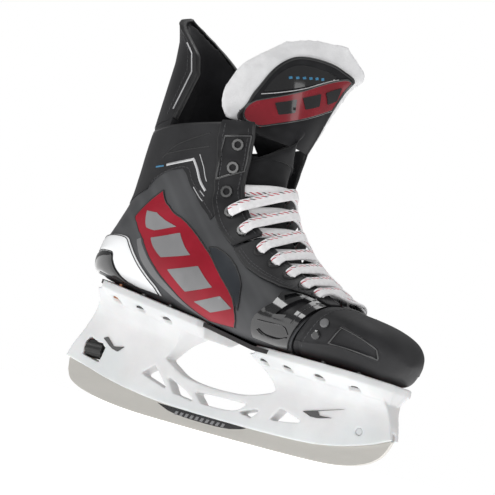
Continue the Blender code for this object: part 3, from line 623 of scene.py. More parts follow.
def patch_mesh(name, surface, outline, low, high, scale, holes=(), step=2.2, passes=2):
    """A closed sheet over an outline on a surface, with holes, and points about step apart."""
    scale = np.array(scale)
    rings = [resampled(rounded(np.asarray(ring) * scale, passes), step, True) for ring in (outline, *holes)]
    lowest, highest = rings[0].min(0), rings[0].max(0)
    xs, ys = (np.arange(a + step / 2, b, step) for a, b in zip(lowest, highest))
    fill = np.stack(np.meshgrid(xs, ys, indexing="ij"), -1).reshape(-1, 2)
    border = np.concatenate(rings)
    clear = np.linalg.norm(fill[:, None] - border[None], axis=-1).min(1) > step * 0.5
    fill = fill[clear & inside(fill, rings[0])]
    edges, start = [], 0
    for ring in rings:
        count = len(ring)
        edges += [(start + k, start + (k + 1) % count) for k in range(count)]
        start += count
    flat = [Vector(p) for p in np.concatenate([border, fill])]
    verts, _, triangles, *_ = geometry.delaunay_2d_cdt(flat, edges, [], 0, 1e-5)
    verts = np.array([tuple(v) for v in verts])
    middles = np.array([verts[list(tri)].mean(0) for tri in triangles])
    keep = inside(middles, rings[0])
    for hole in rings[1:]:
        keep &= ~inside(middles, hole)
    triangles = [tri for tri, kept in zip(triangles, keep) if kept]
    a, b = (verts / scale).T
    top = high(a, b) if callable(high) else high
    points = np.concatenate([surface(a, b, low), surface(a, b, top)])
    faces, count, sides = [], len(verts), {}
    for tri in triangles:
        faces += [tuple(tri[::-1]), tuple(v + count for v in tri)]
        for a, b in zip(tri, tri[1:] + tri[:1]):
            sides[frozenset((a, b))] = None if frozenset((a, b)) in sides else (a, b)
    faces += [(a, b, b + count, a + count) for a, b in filter(None, sides.values())]
    used = sorted({v for face in faces for v in face})
    index = {v: k for k, v in enumerate(used)}
    return mesh_of(name, points[used], [tuple(index[v] for v in face) for face in faces])


def patch(name, surface, outline, low, high, scale, look, slot, body=ROOT, replaced=(), edge=0.25, **shape):
    mesh = patch_mesh(name, surface, outline, low, high, scale, **shape)
    made = new_object(name, mesh, look, body, replaced)
    return soften(made, edge) if edge else made


def line_on(surface, line, offset, scale, step=1.5, curved=False):
    """Points and normals along a line of (a, b) places on a surface."""
    line = np.asarray(line, float)
    if curved:
        line = spline(line, np.linspace(0, len(line) - 1, 8 * len(line)))
    places = resampled(line * np.array(scale), step) / np.array(scale)
    a, b = places.T
    centres = surface(a, b, offset)
    normals = surface(a, b, offset + 1.0) - centres
    return centres, normals / np.linalg.norm(normals, axis=-1, keepdims=True)


def sweep(centres, normals, profile, closed=False):
    """Points, faces and UVs of a tube: profile is a closed ring of (sideways, upwards) in millimetres."""
    centres, normals = np.asarray(centres, float), np.asarray(normals, float)
    if closed:
        ahead = np.roll(centres, -1, axis=0) - np.roll(centres, 1, axis=0)
    else:
        ahead = np.gradient(centres, axis=0)
    ahead /= np.linalg.norm(ahead, axis=-1, keepdims=True)
    side = np.cross(ahead, normals)
    side /= np.linalg.norm(side, axis=-1, keepdims=True)
    up = np.cross(side, ahead)
    profile = np.asarray(profile, float)
    points = centres[:, None] + side[:, None] * profile[None, :, :1] + up[:, None] * profile[None, :, 1:]
    rows, columns = points.shape[:2]
    lengths = np.concatenate([[0], np.cumsum(np.linalg.norm(np.diff(centres, axis=0), axis=-1))])
    width = np.ptp(profile[:, 0])
    uv = [(lengths[i] / 10, 0.5 + profile[j, 0] / width) for i in range(rows) for j in range(columns)]
    faces = []
    for i in range(rows if closed else rows - 1):
        n = (i + 1) % rows
        for j in range(columns):
            k = (j + 1) % columns
            faces.append((i * columns + j, i * columns + k, n * columns + k, n * columns + j))
    if not closed:
        faces += [tuple(range(columns - 1, -1, -1)), tuple(range((rows - 1) * columns, rows * columns))]
    return points.reshape(-1, 3), faces, uv


def oval(width, height, sides=12, power=0.8):
    angles = np.arange(sides) * 2 * math.pi / sides
    return np.stack(
        [width / 2 * signed_power(np.cos(angles), power), height / 2 * signed_power(np.sin(angles), power)],
        -1,
    )


def swept(name, parts, look, body=ROOT, replaced=(), with_uv=False):
    """One object from several sweeps."""
    points, faces, uv, start = [], [], [], 0
    for part_points, part_faces, part_uv in parts:
        points.append(part_points)
        faces += [tuple(v + start for v in face) for face in part_faces]
        uv += part_uv
        start += len(part_points)
    mesh = mesh_of(name, np.concatenate(points), faces, 60)
    if with_uv:
        layer = mesh.uv_layers.new(name="lace")
        for loop in mesh.loops:
            layer.data[loop.index].uv = uv[loop.vertex_index]
    return new_object(name, mesh, look, body, replaced)


def cord_on(surface, line, offset, scale, width, height, curved=False):
    centres, normals = line_on(surface, line, offset, scale, curved=curved)
    return sweep(centres, normals, oval(width, height, 8))


def stitches(surface, line, offset, scale, pitch=3.4, length=2.5, width=0.75, curved=False):
    """One short thread after another along a line on a surface."""
    centres, normals = line_on(surface, line, offset, scale, 0.5, curved)
    travelled = np.concatenate([[0], np.cumsum(np.linalg.norm(np.diff(centres, axis=0), axis=-1))])
    made = []
    for start in np.arange(1.0, travelled[-1] - length, pitch):
        reach = np.linspace(start, start + length, 4)
        spots = np.stack([np.interp(reach, travelled, centres[:, k]) for k in range(3)], -1)
        ups = np.stack([np.interp(reach, travelled, normals[:, k]) for k in range(3)], -1)
        spots += ups * np.array([-0.25, 0.1, 0.1, -0.25])[:, None]
        made.append(sweep(spots, ups, oval(width, 0.5, 6)))
    return made


# ---------------------------------------------------------------- flat outlines and booleans


def curve_through(points, steps=6):
    return spline(points, np.linspace(0, len(points) - 1, steps * (len(points) - 1) + 1))


def prism_object(name, outline, low, high, plane="XZ"):
    """A closed outline as a solid between two distances from its plane."""
    outline = np.asarray(outline, float)
    count = len(outline)
    layers = []
    for reach in (low, high):
        flat = np.full(count, reach)
        a, b = outline.T
        layers.append(np.stack([a, flat, b] if plane == "XZ" else [a, b, flat], -1))
    faces = [tuple(range(count)), tuple(range(2 * count - 1, count - 1, -1))]
    faces += [(k, k + count, (k + 1) % count + count, (k + 1) % count) for k in range(count)]
    return placed(name, mesh_of(name, np.concatenate(layers), faces))


def rod_object(name, start, end, radius, sides=24):
    start, end = np.asarray(start, float), np.asarray(end, float)
    up = (0, 0, 1) if abs(end[2] - start[2]) < abs(np.linalg.norm(end - start)) * 0.9 else (1, 0, 0)
    angles = np.arange(sides) * 2 * math.pi / sides
    ring = np.stack([np.cos(angles), np.sin(angles)], -1) * radius
    points, faces, _ = sweep([start, end], [up, up], ring)
    return placed(name, mesh_of(name, points, faces))


def combine(target, others, operation):
    """Booleans the others into the target's mesh and removes them."""
    for other in others:
        change = target.modifiers.new(other.name, "BOOLEAN")
        change.operation = operation
        change.object = other
    settle(target)
    for other in others:
        bpy.data.objects.remove(other)


def taken(made):
    """The mesh of a helper object, which is removed."""
    mesh = made.data
    bpy.data.objects.remove(made)
    return mesh


def settle(made):
    """Applies an object's modifiers to its mesh."""
    bpy.context.view_layer.update()
    graph = bpy.context.evaluated_depsgraph_get()
    mesh = bpy.data.meshes.new_from_object(made.evaluated_get(graph))
    made.modifiers.clear()
    made.data = mesh


# ---------------------------------------------------------------- holder and steel

WHEEL_Z, WHEEL_RADIUS = 37.8, 7.0
PIVOT = (120.0, 27.5)
STEEL_LINE = [
    (-140, 28), (-120, 24), (-100, 19.5), (-80, 16), (-60, 13.5), (-40, 12), (-20, 11.2), (0, 10.8),
    (40, 10.5), (70, 11), (90, 12.2), (110, 15.5), (130, 21), (145, 27),
]
REAR_PILLAR_BACK = [(-116.5, 80), (-116, 74), (-121, 66), (-128, 52), (-136, 38)]
REAR_PILLAR_FRONT = [(-31, 69), (-49.5, 43.5)]
BRIDGE_TOP = [(-41, 39), (-32, 35), (-20, 32.6), (0, 31.5), (20, 32), (34, 34.5), (45, 38)]
FRONT_PILLAR_BACK = [(49, 40), (45, 47), (38, 55), (32, 60)]
FRONT_PILLAR_FRONT = [(136, 56), (136.5, 51), (139, 45), (143, 35)]
WINDOWS = [
    [(-68.3, 29.0), (-57.5, 37.0), (-55.5, 35.5), (-42.0, 22.4), (-45.0, 22.8)],
    [(-45.3, 32.0), (-27.6, 25.8), (-21.0, 22.2), (-16.0, 18.6), (-36.0, 21.0)],
    [(-18.5, 26.0), (-4.2, 26.6), (13.3, 26.4), (29.0, 27.0), (21.0, 20.4), (12.0, 18.8), (-10.0, 18.6)],
    [(21.5, 19.6), (36.2, 24.8), (39.5, 23.8), (33.5, 18.0)],
    [(55.7, 29.7), (74.1, 24.6), (72.0, 22.7), (48.5, 19.8)],
    [(-122, 46), (-105.5, 40.5), (-108, 28.8), (-125, 32)],
]
REAR_FLANGE = [
    (-118, -8), (-115, -16), (-107, -25), (-97, -31.5), (-70, -32), (-40, -31), (-14, -28.5), (-10, -24),
    (-14, 0),
]
FRONT_FLANGE = [
    (141, -8), (138, -17), (130, -31), (118, -37.5), (98, -40), (75, -39.5), (52, -34), (39, -28.5),
    (35, -22), (38, 0),
]
FLANGE_THICK = 5.0
FLANGE_OVER = 1.05
FLANGE_LAYERS = [(4.6, 0.99), (-0.4, 1.0), (-3.2, 0.88), (-7.5, 0.66)]
WEB_HALF = 5.4
FLARE_SHARE = [(-150, 0.3), (-120, 0.62), (-100, 1), (100, 1.12), (125, 0.8), (150, 0.35)]
FLARE = [(0.0, WEB_HALF), (0.35, 5.9), (0.55, 6.8), (0.70, 8.6), (0.78, 12.0), (0.90, 21.0), (1.0, 29.0)]
RIVETS = [(-92, 24), (-68, 26), (-43, 25.5), (46, 25), (69, 30), (96, 32), (121, 26)]


def runner_top(x):
    return along(STEEL_LINE, x) + 5.0


def holder_side():
    """The holder seen from the side, with its bottom edge and its bridge drawn as curves."""
    top = FRONT_PILLAR_FRONT[::-1] + [(136, flange_top(136) - 2), (32, flange_top(32) - 2)]
    top += FRONT_PILLAR_BACK[::-1] + list(map(tuple, curve_through(BRIDGE_TOP[::-1], 4)))
    top += REAR_PILLAR_FRONT[::-1] + [(-26, flange_top(-26) - 2), (-116.5, flange_top(-116.5) - 2)]
    top += REAR_PILLAR_BACK
    outline = list(map(tuple, curve_through(STEEL_LINE, 4))) + list(dict.fromkeys(top))
    return [tuple(map(float, p)) for p in outline]


def holder_envelope():
    """The pillars' flare towards the flanges."""
    flare = curve_through(FLARE, 3)
    rows = []
    for x in np.linspace(-150, 150, 31):
        top = flange_top(x) + 1
        wide = WEB_HALF + (flare[:, 1] - WEB_HALF) * along(FLARE_SHARE, x)
        side = np.stack([np.full(len(flare), x), wide, 4 + flare[:, 0] * (top - 4)], -1)
        rows.append(np.concatenate([side, (side * (1, -1, 1))[::-1]]))
    rows = np.array(rows)
    count, around = rows.shape[:2]
    faces = [tuple(range(around)), tuple((count - 1) * around + k for k in range(around))]
    for i in range(count - 1):
        for j in range(around):
            k = (j + 1) % around
            faces.append((i * around + j, i * around + k, (i + 1) * around + k, (i + 1) * around + j))
    return placed("envelope", mesh_of("envelope", rows.reshape(-1, 3), faces))


def flange_plate(outline, x_from, x_to, name):
    """A flange that rises a little round the sole and slopes in below it to the pillar."""
    half = rounded(np.array(outline), 1)[:-1]
    full = np.concatenate([half, (half * (1, -1))[::-1]])
    x, y = full.T
    middle = (x_from + x_to) / 2
    layers = []
    for rise, scale in FLANGE_LAYERS:
        along_x = middle + (x - middle) * (1 + 0.15 * (scale - 1))
        layers.append(np.stack([along_x, y * scale * FLANGE_OVER, flange_top(along_x) + rise], -1))
    faces, count = [], len(full)
    for layer in range(len(layers) - 1):
        a, b = layer * count, (layer + 1) * count
        faces += [(a + k, a + (k + 1) % count, b + (k + 1) % count, b + k) for k in range(count)]
    faces += [tuple(range(count)), tuple((len(layers) - 1) * count + k for k in range(count))]
    return placed(name, mesh_of(name, np.concatenate(layers), faces))


def channel():
    edge = [
        (-148, 0), (-148, 33), (-136, 33), (-126, runner_top(-126) + 0.6),
        (-105.8, runner_top(-105) + 0.6),
    ]
    edge += [(-105.8, 41), (-89, 41), (-89, runner_top(-89) + 1)]
    edge += [(x, runner_top(x) + 0.6) for x in (-60, -30, 0, 40, 80, 103)]
    edge += [(110, 32.8), (113, 34), (124, 34), (134, 31.5), (150, 31.5), (150, 0)]
    return prism_object("channel", edge, -1.85, 1.85)


def rivet_rods(kind):
    """Cutters at each rivet: the scalloped hollow below it, its seat or its bore."""
    made = []
    for number, (x, half) in enumerate(RIVETS):
        z = float(flange_top(x))
        for side in (-1, 1):
            y = half * side
            low, high, radius = {
                "pocket": (z - 18, z - 8.0, 6.0),
                "seat": (z - 26, z - FLANGE_THICK + 1.9, 4.2),
                "bore": (z - 12, z + 7, 2.0),
            }[kind]
            made.append(rod_object(f"{kind}{number}_{side}", (x, y, low), (x, y, high), radius))
    return made


def holder():
    made = prism_object("holder_moulded", holder_side(), -42, 42)
    combine(made, [holder_envelope()], "INTERSECT")
    combine(
        made, [prism_object(f"window{k}", rounded(w), -45, 45) for k, w in enumerate(WINDOWS)],
        "DIFFERENCE",
    )
    flanges = [flange_plate(REAR_FLANGE, -130, -10, "rear"), flange_plate(FRONT_FLANGE, 38, 146, "front")]
    combine(made, rivet_rods("pocket"), "DIFFERENCE")
    combine(made, flanges, "UNION")
    rooms = [
        channel(),
        rod_object("wheel_room", (-124.4, 0, WHEEL_Z), (-107.6, 0, WHEEL_Z), WHEEL_RADIUS + 0.5, 32),
    ]
    rooms.append(rod_object("bolt_room", (-128, 0, WHEEL_Z), (-95, 0, WHEEL_Z), 2.6))
    rooms.append(rod_object("pin_bore", (PIVOT[0], -20, PIVOT[1]), (PIVOT[0], 20, PIVOT[1]), 2.65))
    combine(made, rooms + rivet_rods("seat") + rivet_rods("bore"), "DIFFERENCE")
    skin = made.modifiers.new("skin", "REMESH")
    skin.mode = "VOXEL"
    skin.voxel_size = 0.8 * MM
    ease = made.modifiers.new("ease", "SMOOTH")
    ease.factor = 0.5
    ease.iterations = 2
    settle(made)
    made.data.shade_smooth()
    new_object("holder_body", taken(made), "nylon", ROOT, ["holder"])


RUNNER_BOTTOM = [
    (143.5, 24), (141.5, 19), (138, 14), (132, 9.5), (124, 6), (114, 3.4), (102, 1.6), (85, 0.7),
    (60, 0.25), (12, 0), (-12, 0), (-60, 0.5), (-85, 1.7), (-105, 3.9), (-120, 6.8), (-129, 9.8),
    (-134, 13), (-137.5, 18.5),
]
PIVOT_NOTCH = 2.75
HALF_STEEL = 1.5


def runner_outline():
    edge = [(-139, 27.2), (-136, runner_top(-136) - 4), (-128, runner_top(-128)), (-105, runner_top(-105))]
    edge += [(-105, 35), (-102.2, 35), (-102.2, 31.6), (-94.4, 31.6), (-94.4, 35), (-90, 35)]
    edge += [(x, runner_top(x)) for x in (-90, -60, -30, 0, 40, 80, 104)]
    edge += [(112, 30.8), (114, 32.8), (121.5, 32.8), (121.5, PIVOT[1] + PIVOT_NOTCH)]
    for step in range(7):
        angle = math.radians(90 + 30 * step)
        edge.append((PIVOT[0] + PIVOT_NOTCH * math.cos(angle), PIVOT[1] + PIVOT_NOTCH * math.sin(angle)))
    edge += [(130, runner_top(130) - 1.2), (138, 27), (144, 26.5)]
    bottom = curve_through(RUNNER_BOTTOM, 5)
    bottom[:, 1] = np.maximum(bottom[:, 1], 0)
    return [tuple(map(float, p)) for p in edge] + [tuple(map(float, p)) for p in bottom]


def steel():
    mesh = taken(prism_object("runner_blank", runner_outline(), -HALF_STEEL, HALF_STEEL))
    soften(new_object("runner_blade", mesh, "steel", RUNNER, ["runner"]), 0.35)
    label = [(-50, 11.6), (30, 10.4), (26, 8.6), (10, 5.6), (-34, 6.4)]
    for side, sign in SIDES:
        mesh = taken(prism_object("label", rounded(label), HALF_STEEL * sign, (HALF_STEEL + 0.12) * sign))
        new_object(f"runner_stripe_{side}", mesh, "gloss", RUNNER)
        dashes = []
        for x in np.arange(-33, 12, 4.6):
            tilt = [(x, 6.6), (x + 1.2, 9.2), (x + 3.6, 9.2), (x + 2.4, 6.6)]
            dashes.append(prism_object("dash", tilt, (HALF_STEEL + 0.12) * sign, (HALF_STEEL + 0.2) * sign))
        join_as(f"runner_dashes_{side}", dashes, "bar", RUNNER)


def join_as(name, objects, look, body):
    bm = bmesh.new()
    for made in objects:
        bm.from_mesh(taken(made))
    mesh = bpy.data.meshes.new(name)
    bm.to_mesh(mesh)
    bm.free()
    return new_object(name, mesh, look, body)


REAR_MARK = [(-108.5, 46.8), (-104.5, 48.6), (-97, 42.6), (-87.5, 44.2), (-93, 39.6), (-99, 40.8)]
HOLDER_MARK = [(74, 31.4), (107, 39.4), (86, 33.9), (88, 31.2), (98, 31.6), (83, 28.4)]


def holder_marks():
    """Plain dark wedges on the pillars' flanks, following their flare."""

    def flank(x, z, offset):
        top = flange_top(x) + 1
        share = (z - 4) / (top - 4)
        wide = WEB_HALF + (along(FLARE, share) - WEB_HALF) * along(FLARE_SHARE, x)
        return np.stack([x, -(wide + offset), z], -1)

    for side, sign in SIDES:
        def surface(x, z, offset):
            return flank(x, z, offset) * (1, -sign, 1)

        for end, outline in (("front", HOLDER_MARK), ("rear", REAR_MARK)):
            patch(
                f"{end}_mark_{side}", surface, outline, -0.3, 0.5, (1, 1), "gloss", "gloss_black",
                edge=0, passes=1,
            )


# ---------------------------------------------------------------- boot

RED_PANEL = [
    (12.33, .592), (11.58, .627), (10.27, .677), (9.13, .717), (7.76, .724), (6.66, .700), (5.52, .649),
    (4.34, .586),
    (3.40, .504), (2.75, .368), (2.64, .255), (3.21, .216), (3.91, .171), (4.54, .230), (5.26, .294),
    (5.98, .364),
    (6.65, .420), (7.41, .478), (8.35, .529), (9.37, .555), (10.49, .533), (11.19, .492), (11.43, .494),
    (11.96, .532),
]
STRIP = [
    (3.3, .185), (3.91, .145), (4.54, .195), (5.26, .245), (5.95, .305), (6.6, .36), (7.5, .43), (8.6, .5),
    (9.4, .525),
    (9.37, .545), (8.35, .519), (7.41, .468), (6.65, .410), (5.98, .354), (5.26, .284), (4.54, .220),
    (3.91, .163),
]
BADGE = [
    (6.64, .712), (6.42, .739), (5.25, .739), (4.12, .657), (3.35, .550), (2.98, .451), (3.75, .542),
    (4.74, .610), (5.84, .661),
]
COLLAR_PANEL = [
    (12.93, .451), (13.33, .472), (13.51, .570), (13.35, .648), (12.47, .691), (10.45, .779), (8.85, .809),
    (8.26, .808),
    (8.6, .845), (12, .845), (15.95, .80), (16.0, .6), (15.9, .3), (15.8, .05), (13.2, .05), (12.9, .2),
]
CHEVRONS = [
    ([(13.86, .549), (13.74, .687), (10.86, .802)], 1.8, "silver"),
    ([(13.97, .713), (11.71, .793)], 0.7, "silver"),
    ([(11.60, .738), (10.08, .799)], 0.7, "silver"),
    ([(11.04, .776), (10.44, .803)], 0.7, "silver"),
    ([(13.95, .47), (13.86, .53)], 1.2, "blue"),
]
COLLAR_SEAMS = [
    [(14.30, .502), (14.77, .565), (15.04, .641), (15.38, .743)],
    [(14.49, .519), (14.46, .650), (14.40, .754)],
]
SPEED_BARS = [(10.9, 1.7), (8.6, 1.5), (6.4, 1.3), (4.5, 0.9)]
BAND_UPPER = [(6.1, 0.24), (6.6, 0.33), (7.9, 0.44), (9.2, 0.49), (10.2, 0.47), (11.1, 0.30), (11.5, 0.0)]
BAND_LOWER = [(7.1, 0.22), (7.7, 0.24), (8.3, 0.29), (8.9, 0.34), (9.6, 0.37), (10.4, 0.25), (10.8, 0.0)]
CUP_BOTTOM = [(7.4, 0.20), (8.0, 0.20), (8.4, 0.205), (8.8, 0.20), (9.2, 0.17), (9.45, 0.10), (9.55, 0.0)]
BRACKET = [
    (2.23, .742), (1.79, .809), (0.9, .838), (0.16, .844), (0.14, .630), (0.14, .483), (0.16, .24),
    (1.70, .255), (2.12, .471), (2.07, .550), (1.92, .630), (2.06, .694),
]
BRACKET_WINDOWS = [
    [(1.95, .725), (1.80, .80), (1.47, .81), (1.62, .69)],
    [(1.35, .56), (1.22, .79), (0.80, .80), (0.62, .60)],
]
BRACKET_RIDGES = [
    ([(0.42, .54), (0.46, .81)], 1.6), ([(1.80, .467), (0.95, .490), (0.55, .489), (0.27, .435)], 1.0),
    ([(0.27, .40), (0.6, .355), (1.20, .345), (1.6, .38)], 1.0),
]
UPPER_ROWS, LOWER_ROWS = (6.0, 16.2), (0.35, 5.85)
UPPER_OUTER = [(6.0, 0.80), (8.5, 0.84), (10.5, 0.85), (15.0, 0.79), (16.2, 0.80)]
LOWER_OUTER = [(0.35, 0.90), (1.5, 0.865), (2.7, 0.78), (3.7, 0.752), (4.6, 0.755), (5.85, 0.79)]
UPPER_EYELETS = [14.25, 12.3, 10.1, 8.2, 6.65]
LOWER_EYELETS = [5.15, 4.15, 3.15, 2.2, 1.3]
EYELET_T = 0.91
FACING_OVER = 0.9


def mirrored(line, sign):
    return [(s, t * sign) for s, t in line]


def heel_surface(lower, upper):
    """A surface over b, from the lower line to the upper, and w, from lateral to medial."""

    def place(b, w):
        step = (1 - np.abs(w)) * (len(upper) - 1)
        low, high = spline(lower, step), spline(upper, step)
        s, t = np.moveaxis(low + (high - low) * b[..., None], -1, 0)
        return s, t * np.sign(w)

    def surface(b, w, offset):
        return boot(*place(np.asarray(b, float), np.asarray(w, float)), offset)

    return surface


def swollen(low, high, b_power=4, w_power=8):
    """An offset that falls away at a sheet's rim: rows run 0 to 1 and columns -1 to 1."""

    def offset(b, w):
        share = (1 - np.abs(2 * b - 1) ** b_power) * (1 - np.abs(w) ** w_power)
        return low + (high - low) * np.clip(share, 0, 1) ** 0.5

    return offset


def boot_body():
    slab(
        "boot_shell", boot, np.linspace(0.06, 16.0, 110), np.linspace(-0.865, 0.865, 121), -2.6, 0.0,
        "shell", replaced=["quarter_shell"],
    )
    for side, sign in SIDES:
        patch(
            f"red_panel_{side}", boot, mirrored(RED_PANEL, sign), -0.2, 0.55, BOOT_SCALE, "red",
            "red_gloss",
        )
        patch(
            f"grey_strip_{side}", boot, mirrored(STRIP, sign), -0.2, 0.35, BOOT_SCALE, "strip",
            "composite", passes=1,
        )
        patch(
            f"side_badge_{side}", boot, mirrored(BADGE, sign), -0.2, 0.5, BOOT_SCALE, "badge",
            "gloss_black", passes=1,
        )
        patch(
            f"collar_panel_{side}", boot, mirrored(COLLAR_PANEL, sign), -0.2, 0.6, BOOT_SCALE, "collar",
            "composite", passes=1,
        )
        side_lines(side, sign)
        speed_bars(side, sign)


def side_lines(side, sign):
    for look in ("silver", "blue"):
        parts = [
            cord_on(boot, mirrored(line, sign), 0.6, BOOT_SCALE, wide, 0.5)
            for line, wide, kind in CHEVRONS if kind == look
        ]
        swept(f"chevron_{look}_{side}", parts, look)
    rims = []
    for outline in (RED_PANEL, BADGE):
        rim = mirrored(rounded(np.array(outline) * BOOT_SCALE, 1) / BOOT_SCALE, sign)
        rims.append(cord_on(boot, rim + rim[:1], 0.4, BOOT_SCALE, 1.1, 0.7))
    swept(f"panel_edges_{side}", rims, "edge")
    swept(
        f"collar_seams_{side}",
        [cord_on(boot, mirrored(line, sign), 0.6, BOOT_SCALE, 1.0, 0.7, True) for line in COLLAR_SEAMS],
        "edge",
    )
    edge = mirrored(COLLAR_PANEL[:8], sign)
    rows = stitches(boot, [(s, t + 0.014 * sign) for s, t in edge], 0.65, BOOT_SCALE, curved=True)
    swept(f"collar_stitches_{side}", rows, "thread")


def speed_bars(side, sign):
    """Slanted bars along the middle of the red panel."""
    low_edge = [(4.54, .230), (5.98, .364), (7.41, .478), (9.37, .555), (10.49, .533), (12.0, .535)]
    high_edge = [(3.40, .504), (4.34, .586), (5.52, .649), (7.76, .724), (9.13, .717), (12.33, .592)]
    for number, (s, length) in enumerate(SPEED_BARS):
        corners = []
        for share, shift in ((0.24, 0.35), (0.78, -0.35)):
            for end in (0, length):
                at = s + shift - end
                low, high = along(low_edge, at), along(high_edge, at)
                corners.append((at, (low + (high - low) * share) * sign))
        outline = [corners[0], corners[1], corners[3], corners[2]]
        patch(
            f"speed_bar_{side}_{number}", boot, outline, 0.3, 0.8, BOOT_SCALE, "bar", "eyelet_metal",
            passes=1,
        )


def heel():
    rows, columns = np.linspace(0.01, 0.99, 14), np.linspace(-1, 1, 141)
    band, cup = heel_surface(BAND_LOWER, BAND_UPPER), heel_surface(CUP_BOTTOM, BAND_LOWER)
    slab(
        "heel_band", band, rows, columns, 0.3, swollen(0.8, 1.8), "white_gloss",
        replaced=["heel_panel"],
    )
    rows = np.linspace(0.03, 0.97, 16)
    slab(
        "heel_counter", cup, rows, columns, 0.3, swollen(0.8, 2.6, 4, 6), "gloss",
        replaced=["heel_cup"],
    )
    rim = [[(b, w) for w in np.linspace(-0.99, 0.99, 90)] for b in (0.06, 0.94)]
    parts = [cord_on(band, line, 1.5, (14, 110), 0.7, 0.7) for line in rim]
    swept("heel_band_edge", parts, "edge")


def brackets():
    for side, sign in SIDES:
        holes = [mirrored(hole, sign) for hole in BRACKET_WINDOWS]

        def raised(s, t):
            t = np.abs(t)
            fall = np.clip((s - 0.2) / 1.8, 0, 1)
            return 2.9 - 0.7 * fall - 1.1 * np.clip((0.5 - t) / 0.25, 0, 1) + 0.5 * (t > 0.56) * (t < 0.84)

        patch(
            f"bracket_{side}", boot, mirrored(BRACKET, sign), 0.4, raised, BOOT_SCALE, "gloss",
            "gloss_black",
            replaced=[f"side_bracket_{side}"], edge=0.5, holes=holes, passes=1,
        )
        parts = [
            cord_on(boot, mirrored(line, sign), 2.8, BOOT_SCALE, wide, 1.2, True)
            for line, wide in BRACKET_RIDGES
        ]
        swept(f"bracket_ridges_{side}", parts, "gloss")
        for number, outline in enumerate(holes):
            patch(
                f"bracket_floor_{side}_{number}", boot, outline, 0.05, 0.6, BOOT_SCALE, "facing_up",
                "gloss_black", edge=0,
            )


def facing_surface(outer, sign):
    def surface(s, b, offset):
        edge = along(outer, s)
        return boot(s, (edge + (0.985 - edge) * np.abs(b)) * sign, offset)

    return surface


def facings():
    for side, sign in SIDES:
        for part, span, outer, look in (
            ("upper", UPPER_ROWS, UPPER_OUTER, "facing_up"),
            ("lower", LOWER_ROWS, LOWER_OUTER, "facing_low"),
        ):
            node = f"facing_{part}_{side}"
            name = f"{part}_facing_{side}"
            surface = facing_surface(outer, sign)
            slab(
                name, surface, np.linspace(*span, 90), np.sort(np.linspace(0, 1, 12) * sign),
                FACING_OVER, 2.7, look, replaced=[node], edge=0.6,
            )
            ends = np.linspace(span[0] + 0.15, span[1] - 0.15, 30)
            rim = [(s, 1.0 * sign) for s in ends]
            outer_rim = [(s, 0.02 * sign) for s in ends]
            swept(
                f"{name}_binding",
                [
                    cord_on(surface, rim, 1.9, (19, 16), 3.0, 2.6),
                    cord_on(surface, outer_rim, 1.9, (19, 16), 1.4, 1.8),
                ],
                "edge",
            )
            rows = []
            for b in (0.12, 0.2) if part == "lower" else (0.14,):
                rows += stitches(surface, [(s, b * sign) for s in ends], 2.75, (19, 16))
            rows += stitches(surface, [(s, 0.84 * sign) for s in ends], 2.75, (19, 16))
            swept(f"{name}_stitches", rows, "thread")
        lower_eyelets(side, sign)
        top_frame(side, sign)


def disc_frame(s, t):
    """A place on the boot with two directions along it and its normal."""
    centre, out = boot(s, t, 2.7), boot(s, t, 3.7) - boot(s, t, 2.7)
    ahead = boot(s + 0.05, t, 2.7) - centre
    ahead /= np.linalg.norm(ahead)
    out /= np.linalg.norm(out)
    return centre, ahead, np.cross(out, ahead), out


def ring_round(s, t, long, wide, tube, lift=0.0, height=None):
    centre, ahead, side, out = disc_frame(s, t)
    angles = np.arange(28) * 2 * math.pi / 28
    loop = centre + out * lift + np.outer(np.cos(angles) * long, ahead) + np.outer(
        np.sin(angles) * wide, side,
    )
    return sweep(loop, np.tile(out, (28, 1)), oval(tube, height or tube, 8), closed=True)


def lower_eyelets(side, sign):
    """Moulded oval eyelets, each round a dark hole."""
    rings = [ring_round(s, EYELET_T * sign, 3.6, 4.6, 2.2, 0.1, 1.6) for s in LOWER_EYELETS]
    swept(f"moulded_eyelets_{side}", rings, "edge")


def top_frame(side, sign):
    """The raised frame round the two highest eyelets."""
    outline = [(15.0, .83), (15.05, .975), (11.7, .975), (11.6, .845), (13.2, .825)]
    line = mirrored(rounded(outline, 2, 0.03), sign)
    line = list(line) + [line[0]]
    swept(
        f"eyelet_frame_{side}", [cord_on(boot, line, 3.0, BOOT_SCALE, 1.6, 1.2)], "gloss",
    )


def collar_piping():
    """The bound rim of the boot's collar."""
    for side, sign in SIDES:
        line = [(16.0, t * sign) for t in np.linspace(0.02, 0.86, 30)]
        swept(f"collar_rim_{side}", [cord_on(boot, line, -1.2, BOOT_SCALE, 3.2, 3.4)], "edge")


# ---------------------------------------------------------------- toe

TOE_RIDGE = [(0.3, .368), (1.1, .395), (2.2, .442), (3.6, .466), (4.6, .489)]
RECESS = [(1.79, .584), (1.78, .443), (4.55, .494), (4.17, .566)]


def toe_shape(s, t, offset):
    """The dome with its flank recess, ridge and rear seam."""
    t_abs = np.abs(t)
    across = np.clip(1 - np.abs(s - 3.1) / 1.5, 0, 1) ** 0.4
    recess = across * np.clip(1 - np.abs(t_abs - 0.515) / 0.062, 0, 1) ** 0.5
    ridge = np.exp(-(((t_abs - along(TOE_RIDGE, s)) / 0.012) ** 2)) * (s < 4.7)
    groove = np.exp(-(((s - 0.28) / 0.07) ** 2))
    return toe(s, t, offset + (0.7 * ridge - 1.7 * recess - 0.7 * groove) * (offset > -1))


